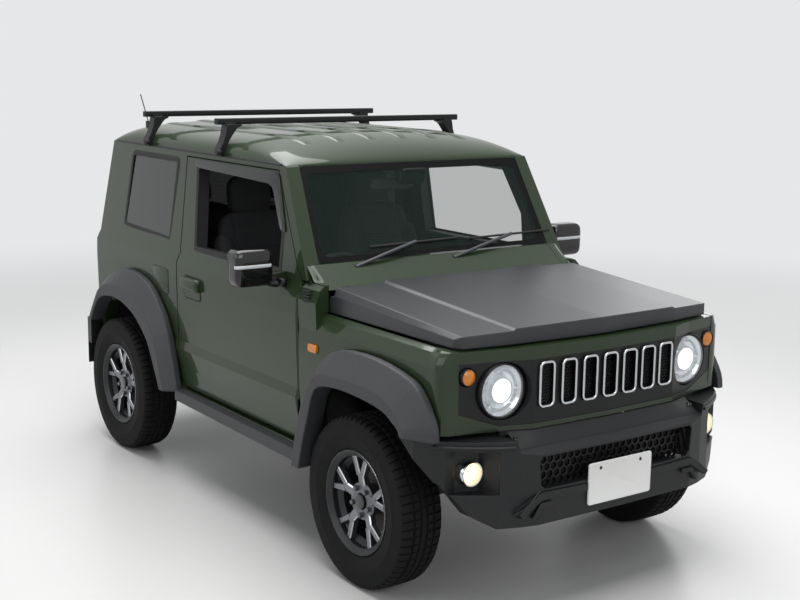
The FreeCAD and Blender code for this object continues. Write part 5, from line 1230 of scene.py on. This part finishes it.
for side, word in SIDES:
    rest = pad((side * 655, 1180, 905), (26, 250, 22), 0, 0.35, steps=(20, 40))
    pull = tube([(side * 662, 1010, 985), (side * 640, 1030, 1000), (side * 640, 1150, 1008),
                 (side * 662, 1170, 998)], 8, 12)
    lever_in = slab(rectangle(860, 985, 930, 1005, 8), side * 640, side * 655, "x")
    piece("door_trim_" + word, [rest, pull, lever_in], dash_plastic, "door_" + word, smooth=60)

# %% [markdown]
# Under the floor: the track rod and the shock absorbers join what the solids carry, and a painted
# panel closes the body under its load floor.
# %% Underbody
piece("track_rod", [tube([(x, 105, 306.5) for x in np.linspace(-470, 470, 5)], 12, 16)], steel_black)
dampers, rods = [], []
for side in (-1, 1):
    for y, y_top in ((60, 80), (2190, 2150)):
        foot, head = np.array((side * 452, y, 330.0)), np.array((side * 430, y_top, 640.0))
        way = head - foot
        dampers.append(tube([foot + way * t for t in np.linspace(0.0, 0.55, 5)], 24, 20))
        rods.append(tube([foot + way * t for t in np.linspace(0.5, 1.0, 5)], 15, 16))
piece("shock_absorbers", dampers, steel_black)
piece("shock_absorber_rods", rods, alloy_dark)
piece("rear_valance", [slab(rectangle(-585, 548, 585, 648, 8), 2540, 2550, "y")], paint, bevel=1.5)

# %% [markdown]
# Some forms are softer on the real car than the pressed solids show: the nose of each wing turns
# the corner in one curve, the scuttle runs down to the wing, and the bumper's ledge rises to the
# painted face. Each is one surface between two known lines, laid a millimetre over the solids.
# %% Wing noses and scuttle corners


def along_line(corners, count):
    """Points at even steps along a line of corners."""
    corners = np.asarray(corners, float)
    reach = np.concatenate([[0], np.cumsum(np.linalg.norm(np.diff(corners, axis=0), axis=1))])
    at = np.linspace(0, reach[-1], count)
    return np.stack([np.interp(at, reach, corners[:, k]) for k in range(corners.shape[1])], 1)


WING_SECTION = [(729.5, 748), (733, 862), (730.5, 966), (717, 992), (703, 1017.5), (673, 1029.5)]
NOSE_SECTION = [(730, 748), (734, 862), (731.5, 966), (724, 990), (710, 1018), (700, 1030)]
FACE_X, FACE_Y = 664.0, -489.5


def wing_nose():
    """Flank to face: P(s, t) follows the wing's section t back to y = -380, then a quadratic
    curve B(s) = (1-s)^2 A + 2 s (1-s) C + s^2 F round the corner to the face."""
    rear, corner = along_line(WING_SECTION, 22), along_line(NOSE_SECTION, 22)
    rows = []
    for t in np.linspace(0, 1, 7)[:-1]:
        ease = t * t * (3 - 2 * t)
        mix = rear + (corner - rear) * ease
        rows.append(np.stack([mix[:, 0], np.full(22, -372 - 62 * t), mix[:, 1]], 1))
    start = np.stack([corner[:, 0], np.full(22, -434.0), corner[:, 1]], 1)
    pull = start + (-2.0, -47.0, 0)
    drop = np.interp(corner[:, 1], [748, 1018, 1030], [0, 0, -1.0])
    face = np.stack([np.full(22, FACE_X), np.full(22, FACE_Y), corner[:, 1] + drop], 1)
    for t in np.linspace(0, 1, 12):
        rows.append((1 - t) ** 2 * start + 2 * t * (1 - t) * pull + t * t * face)
    sheet = np.stack(rows)
    middle = np.array([656.0, -430.0, 1029.8])
    rim = sheet[:, -1]
    cap = [rim + (middle - rim) * k for k in (0.12, 0.5, 0.8)]
    return grid(np.concatenate([sheet] + [c[:, None] for c in cap], 1))


noses = both(wing_nose())
piece("wing_noses", noses, paint, smooth=60)


def scuttle_corner():
    """Height over (y, x): the scuttle's slope, rising by a smooth step to the wing's top."""
    y = np.linspace(380, 506, 12)[:, None]
    x = np.linspace(630, 694, 12)[None]
    slope = 1114.1 + (y - 370) * 0.682 + 1.2
    top = np.interp(y, [380, 445, 506], [1147.2, 1147.2, 1206])
    step = np.clip((x - 668) / 16, 0, 1)
    z = slope + (top - slope) * step * step * (3 - 2 * step)
    return grid(np.stack([x + 0 * y, y + 0 * x, z], -1))


closing = [(671, 1036), (671, 1146.5), (690, 1146.5), (714, 1122.5), (735.5, 1075), (730.5, 962), (700, 1000)]
corner_parts = both(scuttle_corner()) + both(slab(closing, 371, 376, "y"))
piece("scuttle_corners", corner_parts, paint, smooth=50)

# %% Bumper ledge, brows and guard beads


def front_at(x, z, fallback):
    spot = look(["front_bumper"], (x, -1500, z), (0, 1, 0))
    return spot[1] if spot else fallback


def ledge():
    """A plane from the bumper's step up to just under the painted face, lip rounded."""
    x = np.linspace(-472, 472, 41)
    face = np.interp(np.abs(x), [0, 370, 485], [-578, -566, -530]) + 2
    rows = []
    for t, lift in ((-0.02, -5), (0.0, 0.0), (0.04, 1.6), (0.5, 2.0), (1.0, 0.0), (1.0, -6.0)):
        y = -617 + (face + 617) * max(t, 0.0)
        rows.append(np.stack([x, y, np.full(41, 668 + 52 * max(t, 0.0) + lift)], 1))
    return grid(np.stack(rows))


piece("bumper_ledge", [ledge()], plastic, smooth=50)


def ribbed(line, lift, radius, sides=10, fallback=-640.0):
    """A rounded rib laid on the bumper's face along (x, z) points; lift sinks it into the face."""
    path = np.array([(x, front_at(x, z, fallback) + lift, z) for x, z in line])
    path[:, 1] = np.convolve(np.pad(path[:, 1], 2, "edge"), np.ones(5) / 5, "valid")
    return tube(path, radius, sides)


beads = []
for line, radius in (([(505, 430), (400, 504), (386, 508), (172, 502)], 5.6),
                     ([(432, 412), (402, 450), (346, 458)], 5.2)):
    beads += both(ribbed(along_line([(-x, z) for x, z in line], 26), 4.0, radius))
brow = [(-x, 683.0) for x in np.linspace(498, 748, 30)]
beads += both(ribbed(brow, -1.5, 7.5, 12, fallback=-450))
piece("bumper_beads", beads, plastic, smooth=60)

# %% Rockers under the doors
ROCKER = [(482, 436), (1600, 448), (1600, 455), (482, 446)]
rockers = [slab(ROCKER, side * 712, side * 731, "x") for side in (-1, 1)]
piece("painted_rockers", rockers, paint, bevel=2.0)

# %% [markdown]
# The roof carries two square steel bars. Each end is plugged, and stands on a cranked foot whose
# claw hooks under the gutter and is drawn tight by a knob.
# %% Roof bars
BAR_Y = (1307, 2077)
FOOT = [(566, 1750.5), (646, 1750.5), (650, 1736), (655, 1704), (668, 1668), (685, 1640), (687, 1614),
        (676, 1604), (664, 1606), (659, 1630), (648, 1655), (632, 1684), (612, 1712), (592, 1736), (572, 1744)]


bars_made, plugs, feet_made, knobs_made = [], [], [], []
for y in BAR_Y:
    section = rectangle(y - 15, 1750, y + 15, 1778, 5, 4)
    bars_made.append(slab(section, -684, 684, "x"))
    for side in (-1, 1):
        plugs.append(slab(section, side * 684.2, side * 692, "x"))
        feet_made.append(slab(sided(rounded(FOOT, 9, 4), side), y - 27, y + 27, "y"))
        clamp = sided([(600, 1745), (652, 1745), (652, 1760), (600, 1760)], side)
        feet_made.append(slab(clamp, y - 20, y + 20, "y"))
        knob = sided([(680, 0), (680, 12), (694, 14), (700, 12), (701, 0)], side)
        knobs_made.append(lathe(knob, (0, y - 20, 1626), "x", 24))
bars_piece = piece("roof_bar_tubes", bars_made, satin_black)
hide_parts("roof_bars")
piece("roof_bar_plugs", plugs, seal, bevel=2.0)
piece("roof_bar_feet", feet_made, satin_black, bevel=3.0)
piece("roof_bar_knobs", knobs_made, seal)

# %% [markdown]
# Door mirrors have a gloss-black cap that is fuller than a box yet flatter than an egg, so a
# superellipsoid is used: |x/a|^p + |y/b|^p + |z/c|^p = 1. A clear direction lamp crosses the cap.
# %% Door mirrors and handles


def cap_surface(centre, half, power, grow=0.0, steps=(36, 72), level=None, reach=None):
    """Superellipsoid that is a little slimmer ahead at its top and foot. With levels and a reach it
    is only the belt between those heights and angles."""
    v, u = angles(steps)
    if level is not None:
        share = np.asarray(level, float)[:, None] / (half[2] + grow)
        v = np.arcsin(np.sign(share) * np.abs(share) ** (1 / power))
        u = np.linspace(*reach, steps[1])[None]
    x, y, z = superellipsoid(power, v, u)
    x, y, z = x * (half[0] + grow), y * (half[1] + grow), z * (half[2] + grow)
    y = np.where(y < 0, y * (1 - 0.10 * (z / half[2]) ** 2), y)
    return np.stack([x, y, z], -1) + np.asarray(centre, float)


MIRROR, CAP_HALF, CAP_POWER = (873.0, 660.0, 1196.0), (88.0, 44.0, 79.0), 0.34
signal_clear = finish("clear_ribbed_lens", "#C9CED2", 0.2, 0.3, 4.0, 0.05, 12, Coat_Weight=0.6)
for side, word in SIDES:
    centre = (side * MIRROR[0], MIRROR[1], MIRROR[2])
    shell = cap_surface(centre, CAP_HALF, CAP_POWER)
    body = "door_" + word
    piece("mirror_cap_" + word, [grid(shell, False, True)], gloss_black, body, smooth=70)
    reach = (-3.05, -0.9) if side < 0 else (-math.pi + 0.9, -0.09)
    strip = cap_surface(centre, CAP_HALF, CAP_POWER, 0.8, (5, 60), [2, 3, 9, 15, 16], reach)
    strip[[0, -1]] = cap_surface(centre, CAP_HALF, CAP_POWER, -1.0, (5, 60), [1.5, 16.5], reach)
    piece("mirror_signal_" + word, [grid(strip)], signal_clear, body, smooth=60)
    face = rectangle(centre[0] - 76, 1132, centre[0] + 76, 1262, 26)
    piece("mirror_glass_" + word, [slab(face, 703.0, 705.0, "y")], chrome, body)
    low = [(736, 640, 1122), (760, 646, 1118), (790, 652, 1124), (812, 656, 1136)]
    foot = grid(cap_surface((side * 742, 642, 1126), (16, 40, 20), 0.5, 0, (20, 28)), False, True)
    arm = tube(along_line([(side * x, y, z) for x, y, z in low], 9), 15, 16)
    piece("mirror_arm_" + word, [arm, foot], satin_black, body, smooth=60)

GAP, SCOOP = rectangle(1393, 914, 1567, 1026, 24), rectangle(1398, 919, 1562, 962, 16)
FLAP = rectangle(1398, 958, 1562, 1020, 18)
middle = FLAP.mean(0)
size = FLAP - middle
for side, word in SIDES:
    body = "door_" + word
    # A black sheet round the flap and scoop: painted shade in the gap round the handle.
    piece("handle_gap_shade_" + word, [slab(GAP, side * 735.5, side * 738.0, "x")], seal, body)
    piece("handle_scoop_" + word, [slab(SCOOP, side * 736, side * 738.8, "x")], paint, body, bevel=1.0)
    rings = [np.stack([np.full(len(FLAP), side * x), middle[0] + size[:, 0] * (1 - inset / 82),
                       middle[1] + size[:, 1] * (1 - inset / 31)], 1)
             for x, inset in ((737.0, 0.0), (756.0, 1.5), (762.6, 6.0), (764.5, 12.0))]
    piece("handle_flap_" + word, [capped(rings)], paint, body, smooth=50)
for side, word in SIDES:
    barrel = sided([(736, 0), (736, 9), (741, 9), (743, 7), (743.5, 0)], side)
    piece("key_barrel_" + word, [lathe(barrel, (0, 1584, 968), "x", 24)], chrome, "door_" + word)
